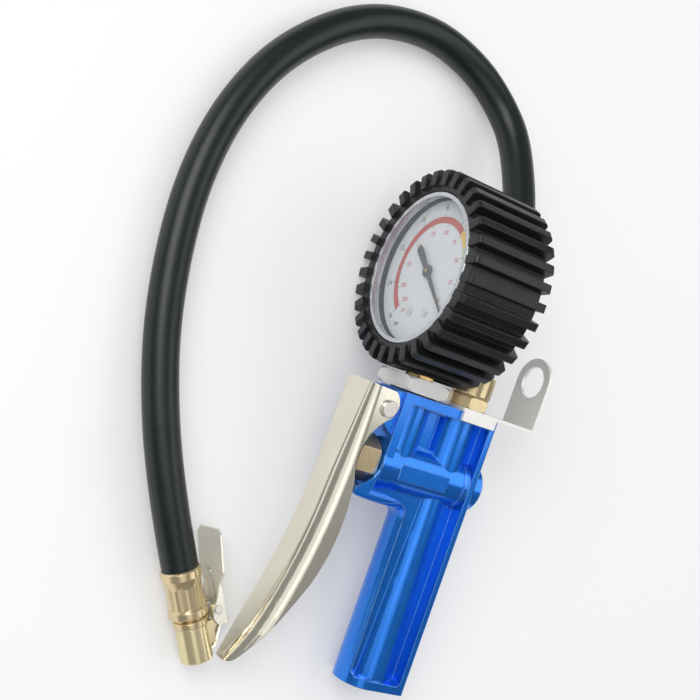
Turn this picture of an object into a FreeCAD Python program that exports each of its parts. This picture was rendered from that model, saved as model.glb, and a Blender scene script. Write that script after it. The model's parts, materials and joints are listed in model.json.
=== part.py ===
import FreeCAD, Part
import math
import os
import re
import Sketcher
from FreeCAD import Matrix, Placement, Rotation, Vector

# Tyre inflator with a dial gauge, lying on its side on a flat surface.
# Every piece of the gun is built in the gun's own frame and then laid down.
# Gun frame: the origin is the centre of the boot's front, X runs back from the dial,
# Z runs up the handle towards the gauge, and Y points to the side that lies on the surface.
# Chuck frame: the origin is the rim of the hose socket, Z runs along the chuck to its mouth,
# X points to the clip, and Y points up.

SIZES = {
    # rubber boot round the gauge
    "boot_radius": 50.0,
    "rib_height": 5.5,
    "rib_width": 4.0,
    "rib_count": 32,
    "rib_round": 2.2,
    "boot_step": 2.2,
    "boot_lip": 3.4,
    "boot_wall": 3.45,
    # gauge case, bezel, window and dial
    "case_wall": 1.2,
    "case_back_wall": 1.6,
    "case_depth": 34.7,
    "bezel_front": 2.4,
    "bezel_flange": 1.6,
    "window_thickness": 2.0,
    "window_rise": 2.7,
    "dial_front": 10.2,
    "dial_thickness": 0.6,
    "dial_screw_circle": 21.8,
    "dial_screw_spread": 17.0,
    "dial_turn": 6.0,
    "pointer_tail": 17.7,
    "pointer_front": 8.3,
    "pointer_thickness": 0.6,
    "pointer_rest": 129.0,
    # gauge movement
    "arbor_radius": 0.75,
    "plate_front": 11.5,
    "plate_thickness": 1.2,
    "plate_gap": 6.3,
    "plate_half": 10.5,
    "plate_above": 6.0,
    "plate_below": 27.0,
    "pinion_tip": 1.8,
    "pinion_teeth": 8,
    "gear_spacing": 21.75,
    "gear_thickness": 1.4,
    "sector_tail": 7.5,
    "tube_width": 9.0,
    "tube_flat": 2.4,
    "tube_start": 172.0,
    "tube_sweep": 293.0,
    "hairspring_pitch": 0.9,
    "hairspring_strip": 0.3,
    "hairspring_turns": 4,
    # gauge stem and its hexagon adapter
    "stem_thread": 6.5,
    "stem_flats": 14.0,
    "socket_half": 9.0,
    "socket_top": 22.0,
    "adapter_flats": 36.0,
    "adapter_height": 7.4,
    "adapter_thread": 8.0,
    "adapter_depth": 10.0,
    "washer_radius": 12.0,
    "washer_thickness": 0.8,
    "adapter_turn": -12.0,
    # casting: the handle with its valve chamber
    "neck_height": 9.0,
    "handle_length": 147.0,
    "grip_depth": 34.8,
    "valve_depth": 37.0,
    "pin_above_valve": 26.4,
    "body_half": 12.8,
    "face_x": 13.0,
    "ledge_front": 3.8,
    "panel_floor": 5.0,
    "rim_width": 4.2,
    "back_round": 2.0,
    "pocket_floor": 2.0,
    "front_tube_radius": 11.0,
    "rear_tube_radius": 11.2,
    "duct_top_radius": 8.0,
    "duct_foot_radius": 11.4,
    "inlet_radius": 5.72,
    "inlet_length": 14.0,
    "duct_bore": 4.5,
    "valve_tube_radius": 12.5,
    "valve_boss_radius": 13.4,
    "valve_boss_length": 9.0,
    "bush_thread": 8.5,
    "chamber_radius": 7.5,
    "label_half": 4.1,
    "label_face": 12.65,
    "passage_radius": 1.5,
    "lug_half": 11.0,
    "lug_front": 1.4,
    # valve pieces
    "bush_flats": 21.0,
    "bush_front": 1.0,
    "bush_shank": 7.0,
    "push_pin_radius": 3.0,
    "oring_outer": 4.9,
    "oring_length": 2.5,
    "seat_x": 36.0,
    "seat_length": 4.0,
    "seat_bore": 4.0,
    "poppet_radius": 6.2,
    "poppet_length": 3.0,
    "poppet_seal": 1.3,
    "poppet_stem": 2.6,
    "spring_coil": 4.6,
    "spring_wire": 1.0,
    "spring_turns": 6,
    # lever and its pin
    "lever_top_x": -7.2,
    "lever_length": 148.0,
    "lever_slope": 0.06,
    "lever_bend_start": 60.0,
    "lever_bend_radius": 289.0,
    "lever_half": 14.3,
    "lever_sheet": 1.2,
    "lever_round": 9.0,
    "pin_x": 5.2,
    "pin_radius": 3.0,
    "pin_head_radius": 4.3,
    "pin_head_length": 1.7,
    "clip_ring_radius": 4.6,
    "clip_ring_thickness": 1.0,
    # outlet fitting, bracket and hose
    "outlet_flats": 19.0,
    "outlet_height": 6.0,
    "outlet_thread": 6.6,
    "outlet_depth": 8.5,
    "bracket_sheet": 2.0,
    "tab_half": 13.0,
    "tab_hole_radius": 8.5,
    "flange_depth": 4.5,
    "flange_length": 21.0,
    "hose_radius": 8.75,
    "hose_bore": 4.75,
    "barb_length": 20.0,
    "ferrule_radius": 10.3,
    "ferrule_length": 12.0,
    # clip-on chuck
    "socket_rim_radius": 9.7,
    "socket_rim_length": 4.0,
    "socket_flats": 16.4,
    "socket_length": 23.4,
    "socket_flange_radius": 9.4,
    "socket_flange_length": 3.6,
    "hose_depth": 5.0,
    "nipple_thread": 6.0,
    "nipple_collar_radius": 7.4,
    "nipple_collar_length": 1.6,
    "ring_radius": 8.2,
    "ring_length": 3.4,
    "chuck_radius": 7.8,
    "chuck_length": 17.6,
    "mouth_radius": 4.1,
    "mouth_length": 5.5,
    "seal_radius": 5.6,
    "seal_length": 4.5,
    "clip_pin_x": 12.4,
    "clip_pin_z": 24.2,
    "clip_pin_radius": 1.5,
    "clip_half": 6.3,
    "clip_sheet": 1.2,
    "pad_half": 9.5,
    "pad_length": 37.6,
    "pad_lean": 4.0,
    "ear_half": 5.0,
    "ear_thickness": 1.6,
    "claw_half": 2.0,
    "claw_z": 42.0,
    # running fits
    "fit": 0.05,
    "gap": 0.3,
}

# Sizes that follow from those above.
DERIVED = {
    "case_front": "boot_step + boot_lip + bezel_flange",
    "boot_back": "case_front + case_depth + boot_lip",
    "boot_length": "boot_back + 2.0",
    "case_radius": "boot_radius - rib_height - boot_wall - fit",
    "boot_mouth_radius": "case_radius - 1.7",
    "bezel_lip": "case_radius - 4.4",
    "bezel_outer": "boot_mouth_radius - 2 * fit",
    "window_radius": "bezel_lip + 0.75",
    "dial_radius": "case_radius - case_wall - 2.6",
    "pointer_reach": "dial_radius - 6.9",
    "tube_circle": "case_radius - case_wall - 8.8",
    "stem_x": "case_front + 17.8",
    "socket_low": "case_radius - 3.0",
    "case_screw_drop": "socket_low - 8.0",
    "body_top": "boot_radius + neck_height",
    "body_bottom": "body_top + handle_length",
    "valve_z": "body_top + valve_depth",
    "pin_z": "valve_z - pin_above_valve",
    "ledge_top": "valve_z + bush_flats / 2 / cos(30) + 0.68",
    "ledge_low": "ledge_top + 5.8",
    "lever_top_z": "body_top - 0.2",
    "tab_hole_z": "body_top - 26.0",
    "outlet_x": "boot_length + 0.9 + ferrule_radius",
    "duct_x": "outlet_x - 3.8",
    "body_back": "outlet_x + 13.8",
    "grip_front": "body_back - grip_depth",
    "valve_tube_end": "body_back + 6.8",
    "chamber_end": "body_back - 3.5",
    "bracket_front": "outlet_x - 11.5",
    "bracket_back": "outlet_x + 37.5",
}

# Route of the hose from the gun's fitting to the chuck, in the lying frame and in
# millimetres: across, along the surface, and height above it, with the boot's centre at 0, 0.
HOSE_ROUTE = [
    (70.0, 33.0, 40.0),
    (72.0, 79.0, 24.0),
    (52.0, 116.0, 14.0),
    (15.0, 135.0, 9.0),
    (-27.0, 132.0, 9.0),
    (-66.0, 105.0, 9.0),
    (-92.0, 64.0, 9.0),
    (-104.0, 18.0, 9.0),
    (-105.0, -31.0, 9.0),
    (-98.0, -77.0, 11.0),
    (-81.4, -131.0, 15.8),
    (-58.6, -171.2, 12.4),
]
FIRST_RUN = 34.0
# the chuck lies rolled a little towards its clip
CLIP_ROLL = -8.0

TURNS = {
    "+X": Rotation(Vector(0, 1, 0), 90),
    "-X": Rotation(Vector(0, 1, 0), -90),
    "+Y": Rotation(Vector(1, 0, 0), -90),
    "-Y": Rotation(Vector(1, 0, 0), 90),
    "+Z": Rotation(),
    "-Z": Rotation(Vector(1, 0, 0), 180),
}
SIDE_VIEW = Rotation(Vector(1, 0, 0), 90)

doc = FreeCAD.newDocument("TyreInflator")
sheet = doc.addObject("Spreadsheet::Sheet", "Sizes")
for row, (alias, number) in enumerate(SIZES.items(), start=1):
    sheet.set("A%d" % row, alias)
    sheet.set("B%d" % row, str(number))
    sheet.setAlias("B%d" % row, alias)
doc.recompute()


def in_sheet(found):
    """A size becomes its cell in the sheet, and a size that follows from others its own formula."""
    word = found.group(0)
    if word in DERIVED:
        return "(%s)" % formula(DERIVED[word])
    return "Sizes." + word if word in SIZES else word


def formula(text):
    """Point each size named in the text at its cell in the sheet."""
    return re.sub(r"[a-z_]+", in_sheet, text)


def value(text):
    """The number that a formula gives now."""
    return float(sheet.evalExpression(formula(text)))


def bind(item, **properties):
    """Tie properties to the sheet; at_x, at_y and at_z are the placement's position."""
    for name, text in properties.items():
        path = "Placement.Base." + name[-1] if name.startswith("at_") else name
        item.setExpression(path, formula(text))


def placed(item, at, axis):
    """Turn a primitive's own Z to the axis and tie its position to the sheet."""
    item.Placement = Placement(Vector(*[value(text) for text in at]), TURNS[axis])
    bind(item, at_x=at[0], at_y=at[1], at_z=at[2])
    return item


def cylinder(name, radius, length, at, axis="+Z"):
    item = doc.addObject("Part::Cylinder", name)
    bind(item, Radius=radius, Height=length)
    return placed(item, at, axis)


def cone(name, radius, end_radius, length, at, axis="+Z"):
    item = doc.addObject("Part::Cone", name)
    bind(item, Radius1=radius, Radius2=end_radius, Height=length)
    return placed(item, at, axis)


def box(name, size, at):
    item = doc.addObject("Part::Box", name)
    bind(item, Length=size[0], Width=size[1], Height=size[2])
    return placed(item, at, "+Z")


def cut(name, base, *tools):
    tool = tools[0] if len(tools) == 1 else fuse(name + "_tools", *tools)
    item = doc.addObject("Part::Cut", name)
    item.Base = base
    item.Tool = tool
    return item


def fuse(name, *shapes):
    item = doc.addObject("Part::MultiFuse", name)
    item.Shapes = list(shapes)
    return item


def common(name, base, tool):
    item = doc.addObject("Part::Common", name)
    item.Base = base
    item.Tool = tool
    return item


def outline(sketch, points):
    """Close an outline; a point with a third entry is the middle of the arc through it."""
    spots = [Vector(value(point[0]), value(point[1]), 0) for point in points]
    corners = [index for index, point in enumerate(points) if len(point) == 2]
    edges = []
    for number, here in enumerate(corners):
        there = corners[(number + 1) % len(corners)]
        middle = (here + 1) % len(points)
        if len(points[middle]) == 2:
            edge = sketch.addGeometry(Part.LineSegment(spots[here], spots[there]), False)
            edges.append((edge, 1, 2))
            continue
        edge = sketch.addGeometry(Part.Arc(spots[here], spots[middle], spots[there]), False)
        forward = sketch.getPoint(edge, 1).distanceToPoint(spots[here]) < 1e-6
        edges.append((edge, 1, 2) if forward else (edge, 2, 1))
    for number, (edge, start, end) in enumerate(edges):
        following = edges[(number + 1) % len(edges)]
        sketch.addConstraint(Sketcher.Constraint("Coincident", edge, end, following[0], following[1]))
        here = corners[number]
        pin_down(sketch, edge, start, points[here], spots[here])
        middle = (here + 1) % len(points)
        if len(points[middle]) == 3:
            mark = sketch.addGeometry(Part.Point(spots[middle]), True)
            sketch.addConstraint(Sketcher.Constraint("PointOnObject", mark, 1, edge))
            pin_down(sketch, mark, 1, points[middle], spots[middle])


def pin_down(sketch, geometry, end, texts, spot):
    """Tie one point of a sketch to the sheet."""
    for kind, text, number in (("DistanceX", texts[0], spot.x), ("DistanceY", texts[1], spot.y)):
        index = sketch.addConstraint(Sketcher.Constraint(kind, -1, 1, geometry, end, number))
        sketch.setExpression("Constraints[%d]" % index, formula(text))


def free_sketch(name, points, turn, height="0"):
    """A sketch outside a body: turned first, then moved along Z by a height."""
    sketch = doc.addObject("Sketcher::SketchObject", name)
    outline(sketch, points)
    sketch.Placement = Placement(Vector(0, 0, value(height)), turn)
    bind(sketch, at_z=height)
    return sketch


def slab(name, points, thickness, offset="0"):
    """A side-view outline given a thickness along Y, centred unless it is offset."""
    sketch = free_sketch(name + "_outline", points, SIDE_VIEW)
    item = doc.addObject("Part::Extrusion", name)
    item.Base = sketch
    item.DirMode = "Custom"
    item.Dir = Vector(0, 1, 0)
    item.Solid = True
    if offset == "0":
        item.Symmetric = True
        bind(item, LengthFwd=thickness)
    else:
        bind(item, LengthFwd="%s + %s" % (offset, thickness), LengthRev="-(%s)" % offset)
    return item


def body_sketch(body, name, role):
    sketch = body.newObject("Sketcher::SketchObject", name)
    plane = [item for item in body.Origin.OriginFeatures if item.Role == role][0]
    sketch.AttachmentSupport = [(plane, "")]
    sketch.MapMode = "FlatFace"
    return sketch


def turned(name, profile):
    """A body turned about its own Z from a profile of radius and height."""
    body = doc.addObject("PartDesign::Body", name)
    sketch = body_sketch(body, name + "_profile", "XZ_Plane")
    outline(sketch, profile)
    turning = body.newObject("PartDesign::Revolution", name + "_turning")
    turning.Profile = sketch
    turning.ReferenceAxis = (sketch, ["V_Axis"])
    turning.Angle = 360
    return body


def seated(body, at, axis):
    """Put a body at a place given by formulas, its own Z along the axis."""
    body.Placement = Placement(Vector(*[value(text) for text in at]), TURNS[axis])
    bind(body, at_x=at[0], at_y=at[1], at_z=at[2])
    return body


def spanner_bar(name, flats, length, at, axis, turn="0", sides=6):
    """A bar with flats for a spanner, its corners turned off at both ends."""
    bar = doc.addObject("Part::Prism", name + "_bar")
    bar.Polygon = sides
    corner = "(%s) / 2 / cos(180 / %d)" % (flats, sides)
    bind(bar, Circumradius=corner, Height=length)
    placed(bar, at, axis)
    spin = Rotation(Vector(0, 0, 1), value(turn))
    bar.Placement = Placement(bar.Placement.Base, TURNS[axis].multiply(spin))
    flat = "(%s) / 2 * 1.05" % flats
    slope = "(%s) / 2 * 0.09" % flats
    limit = turned(name + "_corners", [
        ("0", "0"), (flat, "0"), (corner, slope), (corner, "%s - %s" % (length, slope)),
        (flat, length), ("0", length)])
    seated(limit, at, axis)
    return common(name, bar, limit)


def solid(name, shape):
    """A piece whose shape is worked out in code from the sheet's sizes."""
    item = doc.addObject("Part::Feature", name)
    item.Shape = shape
    return item


# The resting tilt: the boot and the foot of the grip both touch the surface.
def resting_tilt():
    reach = math.hypot(value("body_half"), value("body_bottom"))
    lean = math.atan2(value("body_half"), value("body_bottom"))
    return math.degrees(math.asin(value("boot_radius") / reach) - lean)


TILT = resting_tilt()
LYING = Placement(Vector(0, 0, value("boot_radius")), Rotation(Vector(1, 0, 0), TILT - 90))


def rubber_boot():
    body = doc.addObject("PartDesign::Body", "rubber_boot")
    sleeve = body_sketch(body, "boot_sleeve_profile", "XZ_Plane")
    base = "boot_radius - rib_height"
    outline(sleeve, [
        ("boot_mouth_radius", "boot_step"), (base, "boot_step"), (base, "boot_back"),
        ("boot_mouth_radius", "boot_back")])
    turning = body.newObject("PartDesign::Revolution", "boot_sleeve")
    turning.Profile = sleeve
    turning.ReferenceAxis = (sleeve, ["V_Axis"])
    turning.Angle = 360
    rib = body_sketch(body, "boot_rib_outline", "XZ_Plane")
    edge = "boot_radius - rib_round * 0.3"
    outline(rib, [
        ("boot_mouth_radius + rib_round", "0"), ("boot_radius - rib_round", "0"),
        (edge, "rib_round * 0.3", "arc"), ("boot_radius", "rib_round"),
        ("boot_radius", "boot_length - rib_round"),
        (edge, "boot_length - rib_round * 0.3", "arc"), ("boot_radius - rib_round", "boot_length"),
        ("boot_mouth_radius + rib_round", "boot_length")])
    pad = body.newObject("PartDesign::Pad", "boot_rib")
    pad.Profile = rib
    pad.Midplane = True
    bind(pad, Length="rib_width")
    ribs = body.newObject("PartDesign::PolarPattern", "boot_ribs")
    ribs.Originals = [pad]
    ribs.Axis = (sleeve, ["V_Axis"])
    ribs.Angle = 360
    bind(ribs, Occurrences="rib_count")
    body.Tip = ribs
    bore = body_sketch(body, "boot_bore_profile", "XZ_Plane")
    outline(bore, [
        ("0", "boot_step + boot_lip"), ("boot_radius - rib_height - boot_wall", "boot_step + boot_lip"),
        ("boot_radius - rib_height - boot_wall", "boot_back - boot_lip"), ("0", "boot_back - boot_lip")])
    groove = body.newObject("PartDesign::Groove", "boot_bore")
    groove.Profile = bore
    groove.ReferenceAxis = (bore, ["V_Axis"])
    groove.Angle = 360
    body.Tip = groove
    # one rib points straight down in the lying pose
    body.Placement = Placement(Vector(), Rotation(Vector(1, 0, 0), -TILT).multiply(TURNS["+X"]))
    stem_hole = cylinder("boot_stem_hole", "stem_flats / 2 + 3", "boot_radius", ("stem_x", "0", "0"), "-Z")
    return cut("rubber_boot_piece", body, stem_hole)


DIAL_BACK = "(dial_front + dial_thickness)"


def gauge_case():
    inner = "case_radius - case_wall"
    cup = turned("case_cup", [
        ("0", "case_depth - case_back_wall"), (inner, "case_depth - case_back_wall"), (inner, "0"),
        ("case_radius", "0"), ("case_radius", "case_depth"), ("0", "case_depth")])
    seated(cup, ("case_front", "0", "0"), "+X")
    stem_hole = cylinder("case_stem_hole", "stem_flats / 2 / cos(30) + gap", "boot_radius",
                         ("stem_x", "0", "0"), "-Z")
    holes = [cylinder("case_screw_hole_%d" % side, "1.6 + fit", "10", ("case_front + case_depth - 5",
             "%d * 5" % side, "-case_screw_drop"), "+X") for side in (-1, 1)]
    return cut("gauge_case", cup, stem_hole, *holes)


def bezel_ring():
    step = "window_radius + fit"
    top = "boot_step + boot_lip + fit"
    ring = turned("bezel_ring", [
        ("bezel_lip", "bezel_front"), ("bezel_outer - 0.6", "bezel_front"),
        ("bezel_outer", "bezel_front + 0.6"),
        ("bezel_outer", top), ("case_radius", top), ("case_radius", "case_front"), (step, "case_front"),
        (step, "bezel_front + bezel_flange"), ("bezel_lip", "bezel_front + bezel_flange")])
    return seated(ring, ("0", "0", "0"), "+X")


def window():
    rim = "bezel_front + bezel_flange + fit"
    edge = "(bezel_lip - gap)"
    back = "%s + window_thickness" % rim
    pane = turned("window", [
        ("0", "%s - window_rise" % rim), ("2", "%s - window_rise" % rim),
        ("%s * 0.52" % edge, "%s - window_rise * 0.73" % rim, "arc"), (edge, rim), ("window_radius", rim),
        ("window_radius", back), (edge, back), ("%s * 0.52" % edge, "%s - window_rise * 0.73" % back, "arc"),
        ("2", "%s - window_rise" % back), ("0", "%s - window_rise" % back)])
    return seated(pane, ("0", "0", "0"), "+X")


def dial_screw_places():
    """Y and Z of the two dial screws, below the dial's centre."""
    places = []
    for side in (-1, 1):
        angle = "(180 - dial_turn + %d * dial_screw_spread)" % side
        places.append(("-dial_screw_circle * sin%s" % angle, "dial_screw_circle * cos%s" % angle))
    return places


def dial_plate():
    disc = cylinder("dial_disc", "dial_radius", "dial_thickness", ("dial_front", "0", "0"), "+X")
    holes = [cylinder("dial_centre_hole", "2", "4", ("dial_front - 1", "0", "0"), "+X")]
    for number, (y, z) in enumerate(dial_screw_places()):
        holes.append(cylinder("dial_screw_hole_%d" % number, "0.85", "4", ("dial_front - 1", y, z), "+X"))
    return cut("dial_plate", disc, *holes)


def dial_screws():
    screws = []
    for number, (y, z) in enumerate(dial_screw_places()):
        head = cylinder("dial_screw_head_%d" % number, "2.0", "0.8", ("dial_front - 0.8", y, z), "+X")
        shank = cylinder("dial_screw_shank_%d" % number, "0.8", "3", ("dial_front - 0.8", y, z), "+X")
        slot = box("dial_screw_slot_%d" % number, ("0.4", "5", "0.5"),
                   ("dial_front - 0.9", "%s - 2.5" % y, "%s - 0.25" % z))
        screws.append(cut("dial_screw_%d" % number, fuse("dial_screw_blank_%d" % number, head, shank), slot))
    group = doc.addObject("Part::Compound", "dial_screws")
    group.Links = screws
    return group


def pointer():
    """Thin tip, thick tail and a hub, turned to its place at rest."""
    body = doc.addObject("PartDesign::Body", "pointer")
    blade = body_sketch(body, "pointer_outline", "XY_Plane")
    outline(blade, [
        ("0.45", "pointer_reach"), ("1.3", "0"), ("2.0", "-pointer_tail + 1.5"),
        ("0", "-pointer_tail", "arc"),
        ("-2.0", "-pointer_tail + 1.5"), ("-1.3", "0"), ("-0.45", "pointer_reach")])
    pad = body.newObject("PartDesign::Pad", "pointer_blade")
    pad.Profile = blade
    bind(pad, Length="pointer_thickness")
    hub = body_sketch(body, "pointer_hub_outline", "XY_Plane")
    hub.addGeometry(Part.Circle(Vector(), Vector(0, 0, 1), 3.2), False)
    hub.addConstraint(Sketcher.Constraint("Coincident", 0, 3, -1, 1))
    hub.addConstraint(Sketcher.Constraint("Radius", 0, 3.2))
    boss = body.newObject("PartDesign::Pad", "pointer_hub")
    boss.Profile = hub
    bind(boss, Length="pointer_thickness + 0.5")
    # the sketch's Y is up the dial and its X to the viewer's right, seen from the front
    facing = Rotation(Vector(0, 1, 0), Vector(0, 0, 1), Vector(1, 0, 0), "ZXY")
    turn = Rotation(Vector(1, 0, 0), value("pointer_rest"))
    body.Placement = Placement(Vector(value("pointer_front"), 0, 0), turn.multiply(facing))
    bore = cylinder("pointer_bore", "arbor_radius + fit", "4", ("pointer_front - 1", "0", "0"), "+X")
    return cut("pointer_piece", body, bore)


PLATE_BACK = "(plate_front + 2 * plate_thickness + plate_gap)"


def movement_plates():
    pieces = []
    for name, x in (("front", "plate_front"), ("rear", "plate_front + plate_thickness + plate_gap")):
        pieces.append(box("plate_" + name, ("plate_thickness", "plate_half * 2", "plate_above + plate_below"),
                          (x, "-plate_half", "-plate_below")))
    number = 0
    for y in ("-plate_half + 2", "plate_half - 2"):
        for z in ("plate_above - 2", "-gear_spacing + 8"):
            number += 1
            pieces.append(cylinder("pillar_%d" % number, "1.6", "plate_gap + plate_thickness",
                                   ("plate_front + plate_thickness / 2", y, z), "+X"))
    for number, (y, z) in enumerate(dial_screw_places()):
        post = cylinder("dial_post_%d" % number, "2.2", "plate_front - %s + 0.5" % DIAL_BACK,
                        (DIAL_BACK, y, z), "+X")
        pieces.append(post)
    pieces.append(cylinder("hairspring_stud", "0.5", "1.5", ("plate_front + plate_thickness", "0", "5.4"),
                           "+X"))
    holes = [
        cylinder("arbor_hole", "arbor_radius + fit", "20", ("plate_front - 1", "0", "0"), "+X"),
        cylinder("sector_hole", "1.0 + fit", "20", ("plate_front - 1", "0", "-gear_spacing"), "+X")]
    for number, (y, z) in enumerate(dial_screw_places()):
        holes.append(cylinder("post_hole_%d" % number, "0.8 + fit", "6", ("plate_front - 4", y, z), "+X"))
    return cut("movement_plates", fuse("plates_blank", *pieces), *holes)


def toothed_shape(root, tip, teeth, first, sweep, thickness):
    """A toothed wheel or sector about the origin, its teeth laid round an arc from an angle."""
    points = []
    step = math.radians(sweep) / teeth
    for tooth in range(teeth):
        start = math.radians(first) + tooth * step
        for share, radius in ((0.0, root), (0.25, tip), (0.5, tip), (0.75, root)):
            angle = start + share * step
            points.append(Vector(0, radius * math.sin(angle), radius * math.cos(angle)))
    if sweep < 360:
        points.append(Vector())
    face = Part.Face(Part.makePolygon(points + [points[0]]))
    return face.extrude(Vector(thickness, 0, 0))


GEAR_X = "(plate_front + plate_thickness + 2.3)"


def pinion_arbor():
    radius = value("arbor_radius")
    front = value("pointer_front") - 0.6
    rear = value(PLATE_BACK)
    shaft = Part.makeCylinder(radius, rear - front, Vector(front, 0, 0), Vector(1, 0, 0))
    wheel = toothed_shape(value("pinion_tip") - 0.6, value("pinion_tip"), int(value("pinion_teeth")), 0,
                          360, value("gear_thickness"))
    wheel.translate(Vector(value(GEAR_X), 0, 0))
    collet = Part.makeCylinder(1.1, 0.9, Vector(value("plate_front + plate_thickness") + 0.3, 0, 0),
                               Vector(1, 0, 0))
    return solid("pinion_arbor", shaft.fuse([wheel, collet]).removeSplitter())


def sector_gear():
    spacing = value("gear_spacing")
    tip = spacing - value("pinion_tip") - value("fit")
    blade = toothed_shape(tip - 0.7, tip, 10, -3, 26, value("gear_thickness"))
    hub = Part.makeCylinder(2.6, value("gear_thickness"), Vector(), Vector(1, 0, 0))
    tail = Part.makeBox(value("gear_thickness"), 3.0, value("sector_tail") + 1.5,
                        Vector(0, -1.5, -value("sector_tail") - 1.5))
    piece = blade.fuse([hub, tail])
    x = value(GEAR_X)
    piece.translate(Vector(x, 0, -spacing))
    arbor = Part.makeCylinder(1.0, value(PLATE_BACK) - value("plate_front"),
                              Vector(value("plate_front"), 0, -spacing), Vector(1, 0, 0))
    rivet = Part.makeCylinder(0.6, 1.4, Vector(x - 1.2, 0, -spacing - value("sector_tail")), Vector(1, 0, 0))
    return solid("sector_gear", piece.fuse([arbor, rivet]).removeSplitter())


def link_bar():
    """Bar between the sector's tail and the lug on the tip of the Bourdon tube."""
    z = -value("gear_spacing + sector_tail")
    x = value(GEAR_X) - 0.8
    end = Vector(0, *tube_tip())
    start = Vector(0, 0, z)
    along = end - start
    bar = Part.makeBox(0.6, along.Length, 2.0, Vector(0, 0, -1.0))
    bar.rotate(Vector(), Vector(1, 0, 0), math.degrees(math.atan2(along.z, along.y)))
    bar.translate(start + Vector(x, 0, 0))
    eyes = [Part.makeCylinder(1.5, 0.6, point + Vector(x, 0, 0), Vector(1, 0, 0)) for point in (start, end)]
    hole = Part.makeCylinder(0.6 + value("fit"), 4, start + Vector(x - 1, 0, 0), Vector(1, 0, 0))
    return solid("link", bar.fuse(eyes).cut(hole).removeSplitter())


def tube_tip():
    """Y and Z of the lug's centre, at the free end of the Bourdon tube."""
    angle = math.radians(value("tube_start - tube_sweep"))
    reach = value("tube_circle - tube_flat / 2 - 1")
    return -reach * math.sin(angle), reach * math.cos(angle)


def tube_bend(clearance):
    """The flattened tube bent to a C round the dial's axis, with a clearance all round it."""
    half_width = value("tube_width") / 2 + clearance
    flat = value("tube_flat") / 2 + clearance
    x = value("stem_x") + 1.0
    circle = value("tube_circle")
    start = math.radians(value("tube_start"))
    corners = [(x - half_width, circle - flat), (x + half_width, circle - flat),
               (x + half_width, circle + flat), (x - half_width, circle + flat)]
    points = [Vector(along, -radius * math.sin(start), radius * math.cos(start)) for along, radius in corners]
    section = Part.Face(Part.makePolygon(points + [points[0]]))
    return section.revolve(Vector(), Vector(-1, 0, 0), value("tube_sweep"))


def bourdon_tube():
    """The C-shaped tube, closed by a lug at its free end."""
    y, z = tube_tip()
    front = value(GEAR_X) + 0.1
    rear = value("stem_x + 2 - tube_width / 2")
    lug = Part.makeCylinder(2.4, rear - front, Vector(front, y, z), Vector(1, 0, 0))
    return solid("bourdon_tube", tube_bend(0).fuse(lug).removeSplitter())


def hairspring():
    """A flat spiral strip of half-turn arcs, the same width all along."""
    pitch = value("hairspring_pitch")
    half = value("hairspring_strip") / 2
    x = value("plate_front + plate_thickness") + 0.45
    arcs = []
    for offset in (-half, half):
        side = []
        radius = 1.4
        centre = 0.0
        for turn in range(int(value("hairspring_turns")) * 2):
            away = 1 if turn % 2 == 0 else -1
            reach = radius + offset
            side.append(Part.Arc(Vector(x, 0, centre - away * reach), Vector(x, away * reach, centre),
                                 Vector(x, 0, centre + away * reach)).toShape())
            centre -= away * pitch / 2
            radius += pitch / 2
        arcs.append(side)
    inner, outer = arcs
    ends = [Part.makeLine(inner[0].firstVertex().Point, outer[0].firstVertex().Point),
            Part.makeLine(inner[-1].lastVertex().Point, outer[-1].lastVertex().Point)]
    wire = Part.Wire(Part.__sortEdges__(inner + outer + ends))
    return solid("hairspring", Part.Face(wire).extrude(Vector(0.6, 0, 0)))


def gauge_socket():
    back = "(case_front + case_depth - case_back_wall)"
    block = box("socket_block", ("%s - %s" % (back, PLATE_BACK), "socket_half * 2",
                                 "socket_low - socket_top"),
                (PLATE_BACK, "-socket_half", "-socket_low"))
    arm = box("socket_arm", ("4", "socket_half * 2", "socket_top + plate_above"),
              (PLATE_BACK, "-socket_half", "-socket_top"))
    above_adapter = "body_top - washer_thickness - adapter_height"
    flats = spanner_bar("socket_flats_piece", "stem_flats", above_adapter + " - socket_low + 1",
                        ("stem_x", "0", "1 - socket_low"), "-Z")
    thread = cylinder("socket_thread", "stem_thread - fit", "12",
                      ("stem_x", "0", "-(%s) + 1" % above_adapter), "-Z")
    slot = solid("socket_tube_slot", tube_bend(value("fit")))
    bore = cylinder("socket_bore", "1.5", "body_top - socket_low + 13", ("stem_x", "0", "-body_top - 4"),
                    "+Z")
    holes = [cylinder("socket_screw_hole_%d" % side, "1.6", "10",
                      (back + " - 8", "%d * 5" % side, "-case_screw_drop"), "+X") for side in (-1, 1)]
    clear = cylinder("socket_sector_hole", "1.0 + gap", "6", (PLATE_BACK + " - 1", "0", "-gear_spacing"),
                     "+X")
    return cut("gauge_socket", fuse("socket_blank", block, arm, flats, thread), bore, slot, clear, *holes)


def case_screws():
    screws = []
    head_x = "(case_front + case_depth)"
    for side in (-1, 1):
        head = cylinder("case_screw_head_%d" % side, "3.2", "1.8",
                        (head_x, "%d * 5" % side, "-case_screw_drop"), "+X")
        shank = cylinder("case_screw_shank_%d" % side, "1.6", "7",
                         (head_x, "%d * 5" % side, "-case_screw_drop"), "-X")
        slot = box("case_screw_slot_%d" % side, ("1", "8", "0.8"),
                   (head_x + " + 1", "%d * 5 - 4" % side, "-case_screw_drop - 0.4"))
        screws.append(cut("case_screw_%d" % side, fuse("case_screw_blank_%d" % side, head, shank), slot))
    group = doc.addObject("Part::Compound", "case_screws")
    group.Links = screws
    return group


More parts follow.
